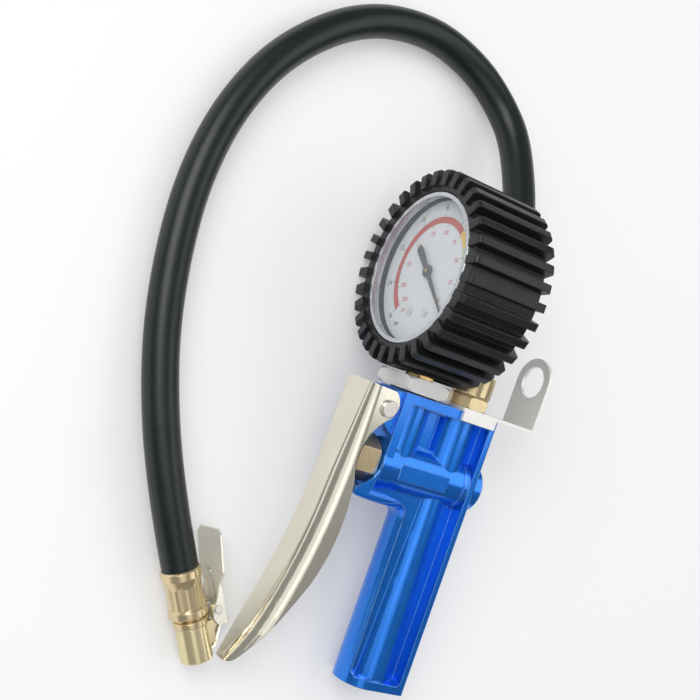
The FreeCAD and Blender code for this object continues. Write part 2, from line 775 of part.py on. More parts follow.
def gauge_adapter():
    foot = "-body_top + washer_thickness"
    head = spanner_bar("adapter_head", "adapter_flats", "adapter_height", ("stem_x", "0", foot), "+Z",
                       "adapter_turn")
    thread = cylinder("adapter_thread_piece", "adapter_thread - fit", "adapter_depth",
                      ("stem_x", "0", foot + " + 1"), "-Z")
    socket = cylinder("adapter_socket", "stem_thread", "20", ("stem_x", "0", "-body_top - 3"), "+Z")
    bore = cylinder("adapter_bore", "2.5", "30", ("stem_x", "0", "-body_top - 16"), "+Z")
    return cut("gauge_adapter", fuse("adapter_blank", head, thread), socket, bore)


def adapter_washer():
    washer = turned("adapter_washer", [
        ("adapter_thread + fit", "0"), ("washer_radius", "0"), ("washer_radius", "washer_thickness"),
        ("adapter_thread + fit", "washer_thickness")])
    return seated(washer, ("stem_x", "0", "-body_top"), "+Z")


def casting_shell():
    """The handle's outside: a slab with its side view, rounded along the front of the grip and the back."""
    side = slab("casting_side", [
        ("face_x + 0.5", "-body_top"), ("body_back", "-body_top"), ("body_back", "-body_bottom"),
        ("grip_front + 0.7", "-body_bottom"), ("grip_front", "-(ledge_low + 6.9)"),
        ("grip_front - 1.76", "-(ledge_low + 2.66)", "arc"), ("grip_front - 6", "-(ledge_low + 0.9)"),
        ("ledge_front + 6.8", "-ledge_low"), ("ledge_front + 1.6", "-(ledge_low - 0.6)"),
        ("ledge_front - 0.2", "-(ledge_low - 2)", "arc"), ("ledge_front - 0.4", "-(ledge_low - 4.2)"),
        ("ledge_front + 2.4", "-(ledge_low - 7.1)"), ("ledge_front + 7.7", "-(ledge_low - 11.6)", "arc"),
        ("face_x + 0.5", "-(ledge_low - 24.6)")], "body_half * 2")
    doc.recompute()
    rounded = doc.addObject("Part::Fillet", "casting_outside")
    rounded.Base = side
    rounded.Edges = rounded_edges(side.Shape)
    room = box("bush_room", ("40", "bush_flats + 0.8", "ledge_top - valve_z + 14"),
               ("face_x - 40", "-bush_flats / 2 - 0.4", "-ledge_top"))
    return cut("casting_shell", rounded, room)


def rounded_edges(shape):
    """Numbers and end radii of the long edges at the back, the grip's front and under the ledge."""
    half = value("body_half")
    found = []
    for number, edge in enumerate(shape.Edges, start=1):
        start = edge.valueAt(edge.FirstParameter)
        end = edge.valueAt(edge.LastParameter)
        if abs(abs(start.y) - half) > 1e-4 or abs(start.y - end.y) > 1e-4:
            continue
        if min(start.x, end.x) > value("body_back") - 1e-4:
            found.append((number, value("back_round"), value("back_round")))
        elif (max(start.x, end.x) < value("grip_front + 1")
              and max(start.z, end.z) < -value("ledge_low - 0.1")):
            found.append((number, round_at(start), round_at(end)))
    return found


def round_at(spot):
    """Radius of the rounding at a corner of the side view: full on the grip, small at the ledge's front."""
    full = value("body_half") - 0.8
    if spot.x > value("grip_front") - 1:
        return full
    return full * 0.6 if spot.x > value("grip_front") - 7 else 2.0


def casting_panels():
    """Recesses on both sides, inside the rim."""
    front = "grip_front + 2.2"
    back = "body_back - rim_width"
    foot = "-(body_bottom - rim_width)"
    grip = [
        (back, "-valve_z"), (back, foot + " + 1.8"), (back + " - 1.8", foot),
        (front + " + 2.2", foot + " + 0.6"),
        (front + " + 0.7", foot + " + 2.4"), (front, "-(ledge_low + 6.9)"),
        ("grip_front + 0.4", "-(ledge_low + 0.6)", "arc"), ("grip_front - 6", "-(ledge_low - 3)"),
        ("face_x - 1.4", "-(ledge_low - 3.6)"), ("face_x - 0.4", "-(ledge_low - 6.4)"),
        ("face_x + 2", "-valve_z")]
    upper = [
        ("face_x + rim_width + 1", "-(body_top + rim_width + 0.8)"), (back, "-(body_top + rim_width + 0.8)"),
        (back, "-valve_z"), ("face_x + rim_width + 1", "-valve_z")]
    deep = [
        ("stem_x + 3", "-(body_top + rim_width + 1.8)"), ("duct_x - 3", "-(body_top + rim_width + 1.8)"),
        ("duct_x - 3", "-(valve_z - valve_tube_radius)"), ("stem_x + 3", "-(valve_z - valve_tube_radius)")]
    cuts = []
    for name, points, floor in (("grip", grip, "panel_floor"), ("upper", upper, "panel_floor"),
                                ("deep", deep, "pocket_floor")):
        cuts.append(slab("panel_far_" + name, points, "body_half", floor))
        cuts.append(slab("panel_near_" + name, points, "body_half", "-body_half - " + floor))
    return cuts


def body_casting():
    """The die-cast handle: rim, recessed panels, half-round tubes, lug for the lever and all bores."""
    shell = casting_shell()
    recessed = cut("casting_recessed", shell, *casting_panels())
    drop = "valve_z - body_top"
    tubes = [
        cylinder("front_tube", "front_tube_radius", drop, ("stem_x", "0", "-body_top"), "-Z"),
        cylinder("rear_tube", "rear_tube_radius", drop, ("duct_x", "0", "-body_top"), "-Z"),
        cone("grip_duct", "duct_top_radius", "duct_foot_radius", "body_bottom - valve_z",
             ("duct_x", "0", "-valve_z"), "-Z"),
        cylinder("valve_tube", "valve_tube_radius", "duct_x", ("face_x", "0", "-valve_z"), "+X"),
        box("label_band", ("duct_x - face_x - valve_boss_length - 3", "label_face * 2", "label_half * 2"),
            ("face_x + valve_boss_length + 3", "-label_face", "-valve_z - label_half - 1"))]
    inside = common("casting_tubes", fuse("tubes_blank", *tubes), shell)
    boss = cylinder("valve_boss", "valve_boss_radius", "valve_boss_length",
                    ("face_x + 0.6", "0", "-valve_z"), "+X")
    bead = cylinder("valve_tube_bead", "valve_boss_radius", "2.4",
                    ("body_back - rim_width - 3.4", "0", "-valve_z"), "+X")
    end = cylinder("valve_tube_end_piece", "valve_tube_radius", "valve_tube_end - duct_x - 3",
                   ("duct_x", "0", "-valve_z"), "+X")
    dome = cone("valve_tube_dome", "valve_tube_radius", "valve_tube_radius - 3", "3",
                ("valve_tube_end - 3", "0", "-valve_z"), "+X")
    lug = slab("lever_lug", [
        ("face_x + 2", "-body_top - 0.8"), ("face_x + 2", "-(pin_z + 12)"), ("face_x - 1", "-(pin_z + 11)"),
        ("pin_x", "-(pin_z + 6.2)"), ("pin_x - 6.2", "-pin_z", "arc"), ("pin_x", "-(pin_z - 6.2)"),
        ("face_x - 4", "-body_top - 0.8")], "lug_half * 2")
    blank = fuse("casting_blank", recessed, inside, boss, bead, end, dome, lug)
    bores = [
        cylinder("bush_bore", "bush_thread", "bush_shank + 1", ("face_x - 1", "0", "-valve_z"), "+X"),
        cylinder("chamber_bore", "chamber_radius", "chamber_end - face_x", ("face_x", "0", "-valve_z"), "+X"),
        cylinder("inlet_bore", "inlet_radius", "inlet_length + 1", ("duct_x", "0", "-body_bottom - 1"), "+Z"),
        cylinder("duct_bore_piece", "duct_bore", "body_bottom - valve_z", ("duct_x", "0", "-body_bottom"),
                 "+Z"),
        cylinder("gauge_thread_bore", "adapter_thread", "adapter_depth", ("stem_x", "0", "-body_top"), "-Z"),
        cylinder("gauge_bore", "3", drop, ("stem_x", "0", "-body_top"), "-Z"),
        cylinder("outlet_thread_bore", "outlet_thread", "outlet_depth", ("outlet_x", "0", "-body_top"), "-Z"),
        cylinder("outlet_bore", "3", "valve_z - chamber_radius - body_top - 1.2",
                 ("outlet_x", "0", "-body_top"), "-Z"),
        cylinder("outlet_passage", "passage_radius", "outlet_x - stem_x",
                 ("stem_x", "0", "-(valve_z - chamber_radius - 2.6)"), "+X"),
        cylinder("lug_bore", "pin_radius", "lug_half * 4", ("pin_x", "-lug_half * 2", "-pin_z"), "+Y")]
    return cut("body_casting", blank, *bores)


def valve_bush():
    head = spanner_bar("bush_head", "bush_flats", "face_x - bush_front", ("bush_front", "0", "-valve_z"),
                       "+X", "0")
    shank = cylinder("bush_shank_piece", "bush_thread - fit", "bush_shank + 1",
                     ("face_x - 1", "0", "-valve_z"), "+X")
    bore = cylinder("bush_bore_piece", "push_pin_radius + fit", "40", ("bush_front - 1", "0", "-valve_z"),
                    "+X")
    seat = cylinder("bush_oring_seat", "oring_outer", "oring_length + 1",
                    ("face_x + bush_shank - oring_length", "0", "-valve_z"), "+X")
    return cut("valve_bush", fuse("bush_blank", head, shank), bore, seat)


def stem_oring():
    ring = turned("stem_oring", [
        ("push_pin_radius + fit", "0"), ("oring_outer", "0"), ("oring_outer", "oring_length"),
        ("push_pin_radius + fit", "oring_length")])
    return seated(ring, ("face_x + bush_shank - oring_length", "0", "-valve_z"), "+X")


def web_x(depth):
    """X of the lever's outer web at a depth below its top: straight, then bent outwards."""
    bend = max(0.0, depth - value("lever_bend_start"))
    slope = value("lever_slope") * depth + bend * bend / 2 / value("lever_bend_radius")
    return value("lever_top_x") - slope


def push_pin():
    """Steel pin that the lever presses: a round nose and a plain shank to the poppet's stem."""
    nose = web_x(value("valve_z - lever_top_z")) + value("lever_sheet + gap")
    length = value("seat_x") - 3.0 - nose
    radius = value("push_pin_radius")
    shank = Part.makeCylinder(radius, length, Vector(nose, 0, -value("valve_z")), Vector(1, 0, 0))
    edges = [edge for edge in shank.Edges if abs(edge.BoundBox.XMax - nose) < 1e-6 and edge.Closed]
    return solid("push_pin", shank.makeFillet(radius * 0.6, edges))


def valve_seat():
    ring = turned("valve_seat", [
        ("seat_bore", "0"), ("chamber_radius", "0"), ("chamber_radius", "seat_length"),
        ("seat_bore", "seat_length")])
    return seated(ring, ("seat_x", "0", "-valve_z"), "+X")


def valve_poppet():
    face = "seat_length + fit + poppet_seal"
    piece = turned("valve_poppet", [
        ("0", "-3"), ("poppet_stem", "-3"), ("poppet_stem", face), ("poppet_radius", face),
        ("poppet_radius", face + " + poppet_length"), ("0", face + " + poppet_length")])
    return seated(piece, ("seat_x", "0", "-valve_z"), "+X")


def poppet_seal():
    ring = turned("poppet_seal", [
        ("poppet_stem + fit", "0"), ("poppet_radius - 0.2", "0"), ("poppet_radius - 0.2", "poppet_seal"),
        ("poppet_stem + fit", "poppet_seal")])
    return seated(ring, ("seat_x + seat_length + fit", "0", "-valve_z"), "+X")


def bend(start, leaving, end, arriving):
    """Two arcs from one point and direction to another, meeting with a shared tangent."""
    across = end - start
    both = leaving + arriving
    part = 2 * (1 - leaving.dot(arriving))
    reach = (math.sqrt(across.dot(both) ** 2 + part * across.dot(across)) - across.dot(both)) / part
    meeting = (start + end + (leaving - arriving) * reach) * 0.5
    arcs = []
    for here, corner, there in ((start, start + leaving * reach, meeting),
                                (meeting, end - arriving * reach, end)):
        chord = (here + there) * 0.5
        share = (here - chord).Length / (here - corner).Length
        middle = chord + (corner - chord) * (share / (1 + share))
        arcs.append(Part.Arc(here, middle, there).toShape())
    return arcs


def coil(radius, wire, length, turns, leg=()):
    """A round wire wound about Z at an even pitch, with a leg of further points and directions."""
    pitch = (length - 2 * wire) / turns
    rise = pitch / 2 / math.pi
    edges = []
    spot = Vector(radius, 0, wire)
    course = Vector(0, radius, rise).normalize()
    first = course
    for quarter in range(1, turns * 4 + 1):
        angle = math.radians(90 * quarter)
        there = Vector(radius * math.cos(angle), radius * math.sin(angle), wire + rise * angle)
        onward = Vector(-radius * math.sin(angle), radius * math.cos(angle), rise).normalize()
        edges += bend(spot, course, there, onward)
        spot, course = there, onward
    for away, onward in leg:
        there = spot + away
        if course.getAngle(onward) < 1e-6:
            edges.append(Part.makeLine(spot, there))
        else:
            edges += bend(spot, course, there, onward)
        spot, course = there, onward
    circle = Part.Wire(Part.makeCircle(wire / 2, Vector(radius, 0, wire), first))
    return Part.Wire(edges).makePipeShell([circle], True, False), pitch - wire


def valve_spring():
    start = value("seat_x + seat_length + fit + poppet_seal + poppet_length")
    shape, least = coil(value("spring_coil"), value("spring_wire"), value("chamber_end") - start,
                        int(value("spring_turns")))
    print("valve spring: least gap between turns %.2f mm" % least)
    shape.Placement = Placement(Vector(start, 0, -value("valve_z")), TURNS["+X"]).multiply(shape.Placement)
    return solid("valve_spring", shape)


def lever_section(depth, inset):
    """Level section of the lever's channel at a depth, drawn in by an inset."""
    width = value("lever_half")
    narrowing = max(0.0, depth - value("lever_length") + 26.0) / 26.0
    width -= narrowing * narrowing * width * 0.44
    corner = value("lever_round") * min(1.0, 0.55 + max(0.0, depth) / 100.0)
    corner = min(corner, width * 0.72) - inset
    width -= inset
    x = web_x(depth) + inset
    open_x = value("face_x") + 6 + inset * 4
    z = -value("lever_top_z") - depth
    lean = corner * (1 - math.sqrt(0.5))
    points = [Vector(open_x, -width, z), Vector(x + corner, -width, z), Vector(x + lean, -width + lean, z),
              Vector(x, -width + corner, z), Vector(x, width - corner, z), Vector(x + lean, width - lean, z),
              Vector(x + corner, width, z), Vector(open_x, width, z)]
    edges = [
        Part.makeLine(points[0], points[1]), Part.Arc(points[1], points[2], points[3]).toShape(),
        Part.makeLine(points[3], points[4]), Part.Arc(points[4], points[5], points[6]).toShape(),
        Part.makeLine(points[6], points[7]), Part.makeLine(points[7], points[0])]
    return Part.Wire(edges)


def lever():
    """A pressed channel: web outside, two flanges astride the handle, pivot ears and a spoon tip."""
    length = value("lever_length")
    spans = int(length / 9.2)
    depths = [length * (-0.02 + 1.03 * number / spans) for number in range(spans + 1)]
    outer = Part.makeLoft([lever_section(depth, 0.0) for depth in depths], True, True)
    inner = Part.makeLoft([lever_section(depth, value("lever_sheet")) for depth in depths], True, True)
    channel = outer.cut(inner)
    px = value("pin_x")
    pz = -value("pin_z")
    top = -value("lever_top_z")
    foot = top - length
    tip = web_x(length)
    arcs = [
        Part.makeLine(Vector(-45, 0, top + 0.6), Vector(px + 1.4, 0, top - 1.7)),
        Part.Arc(Vector(px + 1.4, 0, top - 1.7), Vector(px + 5.5, 0, pz + 1.8),
                 Vector(px + 1.6, 0, pz - 5.6)).toShape(),
        Part.Arc(Vector(px + 1.6, 0, pz - 5.6), Vector(px - 7.2, 0, pz - 23.6),
                 Vector(px - 4.8, 0, pz - 37.0)).toShape(),
        Part.Arc(Vector(px - 4.8, 0, pz - 37.0), Vector(px - 2.8, 0, pz - 58.0),
                 Vector(px - 8.4, 0, pz - 90.5)).toShape(),
        Part.Arc(Vector(px - 8.4, 0, pz - 90.5), Vector(px - 17.5, 0, pz - 110.0),
                 Vector(tip + 4.5, 0, foot + 3.0)).toShape(),
        Part.Arc(Vector(tip + 4.5, 0, foot + 3.0), Vector(tip + 2.2, 0, foot + 0.8),
                 Vector(tip - 2.0, 0, foot)).toShape(),
        Part.makeLine(Vector(tip - 2.0, 0, foot), Vector(-45, 0, foot)),
        Part.makeLine(Vector(-45, 0, foot), Vector(-45, 0, top + 0.6))]
    keep = Part.Face(Part.Wire(arcs)).extrude(Vector(0, 60, 0))
    keep.translate(Vector(0, -30, 0))
    channel = channel.common(keep)
    hole = Part.makeCylinder(value("pin_radius + fit"), 60, Vector(px, -30, pz), Vector(0, 1, 0))
    return solid("lever", channel.cut(hole))


def lever_pin():
    outside = "lever_half + fit"
    pin = turned("lever_pin", [
        ("0", "0"), ("pin_head_radius - 0.5", "0"), ("pin_head_radius", "0.5"),
        ("pin_head_radius", "pin_head_length"),
        ("pin_radius", "pin_head_length"), ("pin_radius", "pin_head_length + (%s) * 2" % outside),
        ("pin_radius - 0.6", "pin_head_length + (%s) * 2" % outside),
        ("pin_radius - 0.6", "pin_head_length + (%s) * 2 + clip_ring_thickness" % outside),
        ("pin_radius", "pin_head_length + (%s) * 2 + clip_ring_thickness" % outside),
        ("pin_radius - 0.4", "pin_head_length + (%s) * 2 + clip_ring_thickness + 1.2" % outside),
        ("0", "pin_head_length + (%s) * 2 + clip_ring_thickness + 1.2" % outside)])
    return seated(pin, ("pin_x", "-(%s) - pin_head_length" % outside, "-pin_z"), "+Y")


def pin_clip():
    """Open retaining ring in the pin's groove."""
    ring = cylinder("clip_ring_blank", "clip_ring_radius", "clip_ring_thickness",
                    ("pin_x", "lever_half + fit", "-pin_z"), "+Y")
    hole = cylinder("clip_ring_hole", "pin_radius - 0.6", "6", ("pin_x", "lever_half - 2", "-pin_z"), "+Y")
    mouth = box("clip_ring_mouth", ("8", "6", "3.6"), ("pin_x", "lever_half - 2", "-pin_z - 1.8"))
    return cut("pin_clip", ring, hole, mouth)


def hang_bracket():
    """Plate under the hose fitting, folded down over the handle and up into a hanging tab."""
    half = "(body_half + fit + bracket_sheet)"
    plate = box("bracket_plate", ("bracket_back - bracket_front", half + " * 2", "bracket_sheet"),
                ("bracket_front", "-" + half, "-body_top"))
    flanges = [box("bracket_flange_%d" % side, ("flange_length", "bracket_sheet",
                                                "flange_depth + bracket_sheet"),
               ("bracket_front + 1", "-%s" % half if side < 0 else "%s - bracket_sheet" % half,
                "-body_top - flange_depth"))
               for side in (-1, 1)]
    tab = box("bracket_tab", ("bracket_sheet", "tab_half * 2", "body_top - tab_hole_z"),
              ("bracket_back - bracket_sheet", "-tab_half", "-body_top"))
    top = cylinder("bracket_tab_top", "tab_half", "bracket_sheet",
                   ("bracket_back - bracket_sheet", "0", "-tab_hole_z"), "+X")
    trims = [box("bracket_trim_%d" % side, ("60", "6", "10"), ("bracket_front + flange_length + 1",
             "-tab_half - 6" if side < 0 else "tab_half", "-body_top - 1")) for side in (-1, 1)]
    eye = cylinder("bracket_eye", "tab_hole_radius", "8", ("bracket_back - 5", "0", "-tab_hole_z"), "+X")
    hole = cylinder("bracket_hole", "outlet_thread + fit", "8", ("outlet_x", "0", "-body_top - 3"), "+Z")
    return cut("hang_bracket", fuse("bracket_blank", plate, tab, top, *flanges), eye, hole, *trims)


def barb(name, at_radius, length, foot):
    """Profile of a hose barb: a ridge every few millimetres, up to a foot height."""
    ridges = 4
    step = "((%s) / %d)" % (length, ridges)
    points = []
    for ridge in range(ridges):
        points.append((at_radius, "%s + %s * %d" % (foot, step, ridge)))
        points.append(("(%s) - 0.6" % at_radius, "%s + %s * %d" % (foot, step, ridge + 1)))
    return points


def outlet_fitting():
    foot = "-body_top + bracket_sheet"
    head = spanner_bar("outlet_head", "outlet_flats", "outlet_height", ("outlet_x", "0", foot), "+Z", "0")
    thread = cylinder("outlet_thread_piece", "outlet_thread - fit", "outlet_depth + bracket_sheet",
                      ("outlet_x", "0", foot), "-Z")
    tail = turned("outlet_tail", [("0", "0")] + barb("outlet", "hose_bore", "barb_length",
                                                     "0") + [("0", "barb_length")])
    seated(tail, ("outlet_x", "0", foot + " + outlet_height"), "+Z")
    bore = cylinder("outlet_fitting_bore", "2.6", "60", ("outlet_x", "0", "-body_top - 15"), "+Z")
    return cut("outlet_fitting", fuse("outlet_blank", head, thread, tail), bore)


def gun_ferrule():
    """Sleeve crimped round the hose, rounded where it stands on the fitting."""
    inner = "hose_radius + fit"
    sleeve = turned("gun_ferrule", [
        (inner, "0"), ("ferrule_radius - 1.4", "0"), ("ferrule_radius - 0.4", "0.4", "arc"),
        ("ferrule_radius", "1.4"),
        ("ferrule_radius", "ferrule_length - 0.6"), ("ferrule_radius - 0.4", "ferrule_length"),
        (inner, "ferrule_length")])
    return seated(sleeve, ("outlet_x", "0", "-body_top + bracket_sheet + outlet_height"), "+Z")


def hose_route():
    """Corner points of the hose's route in the lying frame."""
    start = Vector(value("outlet_x"), 0, -value("body_top - bracket_sheet - outlet_height"))
    points = [LYING.multVec(start), LYING.multVec(start + Vector(0, 0, FIRST_RUN))]
    return points + [Vector(*point) for point in HOSE_ROUTE]


def hose_path(points):
    """Straight runs joined by tangent arcs, each as large as its two runs allow."""
    edges = []
    here = points[0]
    length = 0.0
    for number in range(1, len(points) - 1):
        before = points[number] - points[number - 1]
        after = points[number + 1] - points[number]
        turn = before.getAngle(after)
        reach = 0.45 * min(before.Length, after.Length)
        radius = reach / math.tan(turn / 2)
        print("hose bend %d: radius %.0f mm, turn %.0f degrees" % (number, radius, math.degrees(turn)))
        start = points[number] - before.normalize() * reach
        end = points[number] + after.normalize() * reach
        inward = (after - before).normalize()
        middle = points[number] + inward * (radius / math.cos(turn / 2) - radius)
        edges.append(Part.LineSegment(here, start).toShape())
        edges.append(Part.Arc(start, middle, end).toShape())
        length += here.distanceToPoint(start) + radius * turn
        here = end
    edges.append(Part.LineSegment(here, points[-1]).toShape())
    length += here.distanceToPoint(points[-1])
    return Part.Wire(edges), length


def chuck_frame():
    """Chuck frame in the lying frame: its Z follows the hose's last run, its Y points up."""
    along = (hose_route()[-1] - hose_route()[-2]).normalize()
    across = Vector(0, 0, 1).cross(along).normalize()
    up = along.cross(across)
    turn = Rotation(across, up, along, "ZXY").multiply(Rotation(Vector(0, 0, 1), CLIP_ROLL))
    rim = hose_route()[-1] - along * value("hose_depth")
    return Placement(rim, turn)


def hose():
    """Rubber tube along its route, bored from end to end."""
    path, length = hose_path(hose_route())
    start = path.Edges[0]
    direction = (start.lastVertex().Point - start.firstVertex().Point).normalize()
    tubes = []
    for radius in (value("hose_radius"), value("hose_bore")):
        ring = Part.Wire(Part.makeCircle(radius, start.firstVertex().Point, direction))
        tubes.append(path.makePipeShell([ring], True, False))
    tube = tubes[0].cut(tubes[1])
    section = math.pi * (value("hose_radius") ** 2 - value("hose_bore") ** 2)
    print("hose: length %.1f mm, volume %.0f, section times length %.0f" % (length, tube.Volume,
                                                                            section * length))
    return solid("hose", tube)


def chuck_socket():
    """Screw-on socket: flared rim, eight flats for the spanner and a flange."""
    outer = turned("socket_outer", [
        ("0", "0"), ("socket_rim_radius - 0.8", "0"), ("socket_rim_radius", "0.8"),
        ("socket_rim_radius", "socket_rim_length"), ("socket_flats / 2 + 0.1", "socket_rim_length + 4.4"),
        ("socket_flats / 2 + 0.1", "socket_length - socket_flange_length - 1.2"),
        ("socket_flange_radius", "socket_length - socket_flange_length"),
        ("socket_flange_radius", "socket_length - 0.6"), ("socket_flange_radius - 0.6", "socket_length"),
        ("0", "socket_length")])
    grip = spanner_bar("socket_flats_bar", "socket_flats",
                       "socket_length - socket_flange_length - socket_rim_length - 3",
                       ("0", "0", "socket_rim_length + 3"), "+Z", "40", 8)
    bore = cylinder("socket_hose_bore", "hose_radius + fit", "hose_depth + 1", ("0", "0", "-1"), "+Z")
    hole = cylinder("socket_nipple_hole", "5", "40", ("0", "0", "-1"), "+Z")
    return cut("chuck_socket", fuse("chuck_socket_blank", outer, grip), bore, hole)


NIPPLE_COLLAR = "(socket_length + nipple_collar_length)"


def chuck_nipple():
    """Barbed insert in the hose, with a collar and a thread into the chuck."""
    end = NIPPLE_COLLAR + " + ring_length + chuck_length - 13 - gap"
    blank = turned("nipple_blank", [("0", "hose_depth - 16")] + barb("nipple", "hose_bore", "16",
                                                                     "hose_depth - 16") + [
        ("5 - fit", "hose_depth"), ("5 - fit", "socket_length"), ("nipple_collar_radius", "socket_length"),
        ("nipple_collar_radius", NIPPLE_COLLAR), ("nipple_thread - fit", NIPPLE_COLLAR),
        ("nipple_thread - fit", end), ("0", end)])
    bore = cylinder("nipple_bore", "2.2", "60", ("0", "0", "0"), "+Z")
    return cut("chuck_nipple", blank, bore)


def lock_ring():
    ring = turned("lock_ring", [
        ("nipple_thread + fit", "0"), ("ring_radius - 0.5", "0"), ("ring_radius", "0.5"),
        ("ring_radius", "ring_length - 0.5"), ("ring_radius - 0.5", "ring_length"),
        ("nipple_thread + fit", "ring_length")])
    return seated(ring, ("0", "0", NIPPLE_COLLAR), "+Z")


CHUCK_START = "(socket_length + nipple_collar_length + ring_length)"
CHUCK_END = "(%s + chuck_length)" % CHUCK_START
SEAL_START = "(%s - mouth_length - seal_length)" % CHUCK_END


def chuck_body():
    """Chuck: thread, seal chamber and mouth in line, two ears for the clip and a slot for its claw."""
    barrel = turned("chuck_barrel", [
        ("0", CHUCK_START), ("chuck_radius", CHUCK_START), ("chuck_radius", CHUCK_END + " - 1"),
        ("chuck_radius - 1", CHUCK_END), ("0", CHUCK_END)])
    reach = "clip_pin_x + 2.3"
    clear = "socket_flange_radius + 0.4"
    side_view = [
        ("0", CHUCK_START), (clear, CHUCK_START), (clear, "clip_pin_z - 2.6"),
        (reach + " - 1", "clip_pin_z - 2.6"),
        (reach, "clip_pin_z"), (reach + " - 1", CHUCK_START), ("chuck_radius - 1", CHUCK_START + " + 8"),
        ("0", CHUCK_START + " + 8")]
    ears = [slab("chuck_ear_%d" % number, side_view, "ear_thickness", offset)
            for number, offset in enumerate(("ear_half - ear_thickness", "-ear_half"))]
    eyes = cylinder("chuck_pin_hole", "clip_pin_radius", "20", ("clip_pin_x", "-10", "clip_pin_z"), "+Y")
    bores = [
        cylinder("chuck_thread", "nipple_thread", "chuck_length - 12", ("0", "0", CHUCK_START), "+Z"),
        cylinder("chuck_core_bore", "2.6", "%s - %s" % (SEAL_START, CHUCK_START), ("0", "0", CHUCK_START),
                 "+Z"),
        cylinder("seal_chamber", "seal_radius", "seal_length", ("0", "0", SEAL_START), "+Z"),
        cylinder("chuck_mouth", "mouth_radius", "mouth_length + 2",
                 ("0", "0", CHUCK_END + " - mouth_length"), "+Z"),
        box("claw_slot", ("chuck_radius + 2", "(claw_half + gap) * 2", "clip_sheet + 2 * gap + 1.3"),
            ("0", "-claw_half - gap", "claw_z - gap - 0.1"))]
    boss = box("chuck_boss", ("chuck_radius + 1.4", "ear_half * 2", "11"), ("0", "-ear_half", CHUCK_START))
    return cut("chuck_body", fuse("chuck_blank", barrel, boss, *ears), eyes, *bores)


def chuck_seal():
    ring = turned("chuck_seal", [
        ("2.2", "0"), ("seal_radius - fit", "0"), ("seal_radius - fit", "seal_length"),
        ("3.4", "seal_length"),
        ("3.0", "seal_length - 1.4"), ("2.2", "seal_length - 1.4")])
    return seated(ring, ("0", "0", SEAL_START), "+Z")


def chuck_core():
    """Pin that opens the tyre valve, on a drilled foot behind the seal."""
    foot = turned("chuck_core", [
        ("0", "0"), ("2.55", "0"), ("2.55", "3"), ("1.0", "3"), ("1.0", "7"), ("0.6", "7.4"), ("0", "7.4")])
    return seated(foot, ("0", "0", SEAL_START + " - 3"), "+Z")


PAD_FOOT = "(clip_pin_x + 2.6)"


def thumb_pad():
    """The clip's pad: narrow at the pin, wide above it, with its top corners cut off."""
    foot = value(PAD_FOOT)
    pin = value("clip_pin_z")
    half = value("pad_half")
    neck = value("clip_half")
    top = pin - value("pad_length")
    lean = value("pad_lean")
    sheet_metal = value("clip_sheet")
    side = [(foot, pin + 2), (foot + sheet_metal, pin + 2), (foot + sheet_metal + 0.6, pin - 12),
            (foot + sheet_metal + lean, top), (foot + lean, top), (foot + 0.6, pin - 12)]
    side = [Vector(x, -half, z) for x, z in side]
    face = [(neck, pin + 2), (neck, pin - 11), (half, pin - 17), (half, top + 2.6), (half - 2.6, top)]
    face = [Vector(foot - 1, y, z) for y, z in face + [(-y, z) for y, z in reversed(face)]]
    strip = Part.Face(Part.makePolygon(side + [side[0]])).extrude(Vector(0, half * 2, 0))
    return solid("clip_pad", strip.common(Part.Face(Part.makePolygon(face + [face[0]])).extrude(Vector(20,
            0, 0))))


def clip_lever():
    """Spring clip: a leaning thumb pad, two cheeks on the pin and a jaw whose claw enters the mouth."""
    cheeks = slab("clip_cheeks_blank", [
        (PAD_FOOT + " + 1.1", "clip_pin_z - 14"), (PAD_FOOT + " + 0.6", "clip_pin_z + 8"),
        ("clip_pin_x - 0.5", "clip_pin_z + 8"), ("clip_pin_x - 2.4", "clip_pin_z", "arc"),
        ("clip_pin_x - 0.5", "clip_pin_z - 2.6"),
        ("clip_pin_x + 1.2", "clip_pin_z - 6")], "clip_half * 2")
    hollow = box("clip_cheeks_gap", ("20", "(clip_half - clip_sheet) * 2", "40"),
                 ("clip_pin_x - 10", "-clip_half + clip_sheet", "clip_pin_z - 20"))
    jaw = slab("clip_jaw", [
        (PAD_FOOT, "clip_pin_z + 2"), (PAD_FOOT + " + clip_sheet", "clip_pin_z + 2"),
        (PAD_FOOT + " + clip_sheet", "clip_pin_z + 8"), ("chuck_radius + 2.2", "claw_z + clip_sheet"),
        ("mouth_radius + 0.3", "claw_z + clip_sheet"), ("mouth_radius + 0.3", "claw_z"),
        ("chuck_radius + 1.0", "claw_z"), (PAD_FOOT, "clip_pin_z + 8")], "claw_half * 2")
    shoulder = slab("clip_shoulder", [
        (PAD_FOOT, "clip_pin_z + 1"), (PAD_FOOT + " + clip_sheet", "clip_pin_z + 1"),
        (PAD_FOOT + " + clip_sheet", "clip_pin_z + 8"), (PAD_FOOT, "clip_pin_z + 8")], "clip_half * 2")
    eye = cylinder("clip_eye", "clip_pin_radius + fit", "30", ("clip_pin_x", "-15", "clip_pin_z"), "+Y")
    blank = fuse("clip_blank", thumb_pad(), cut("clip_cheeks", cheeks, hollow), shoulder, jaw)
    return cut("clip_lever", blank, eye)


def clip_pin():
    half = "(clip_half + gap)"
    pin = turned("clip_pin", [
        ("0", "0"), ("clip_pin_radius + 0.6", "0"), ("clip_pin_radius + 0.6", "0.6"),
        ("clip_pin_radius", "0.6"),
        ("clip_pin_radius", "0.6 + %s * 2" % half), ("clip_pin_radius + 0.6", "0.6 + %s * 2" % half),
        ("clip_pin_radius + 0.6", "1.2 + %s * 2" % half), ("0", "1.2 + %s * 2" % half)])
    return seated(pin, ("clip_pin_x", "-%s - 0.6" % half, "clip_pin_z"), "+Y")


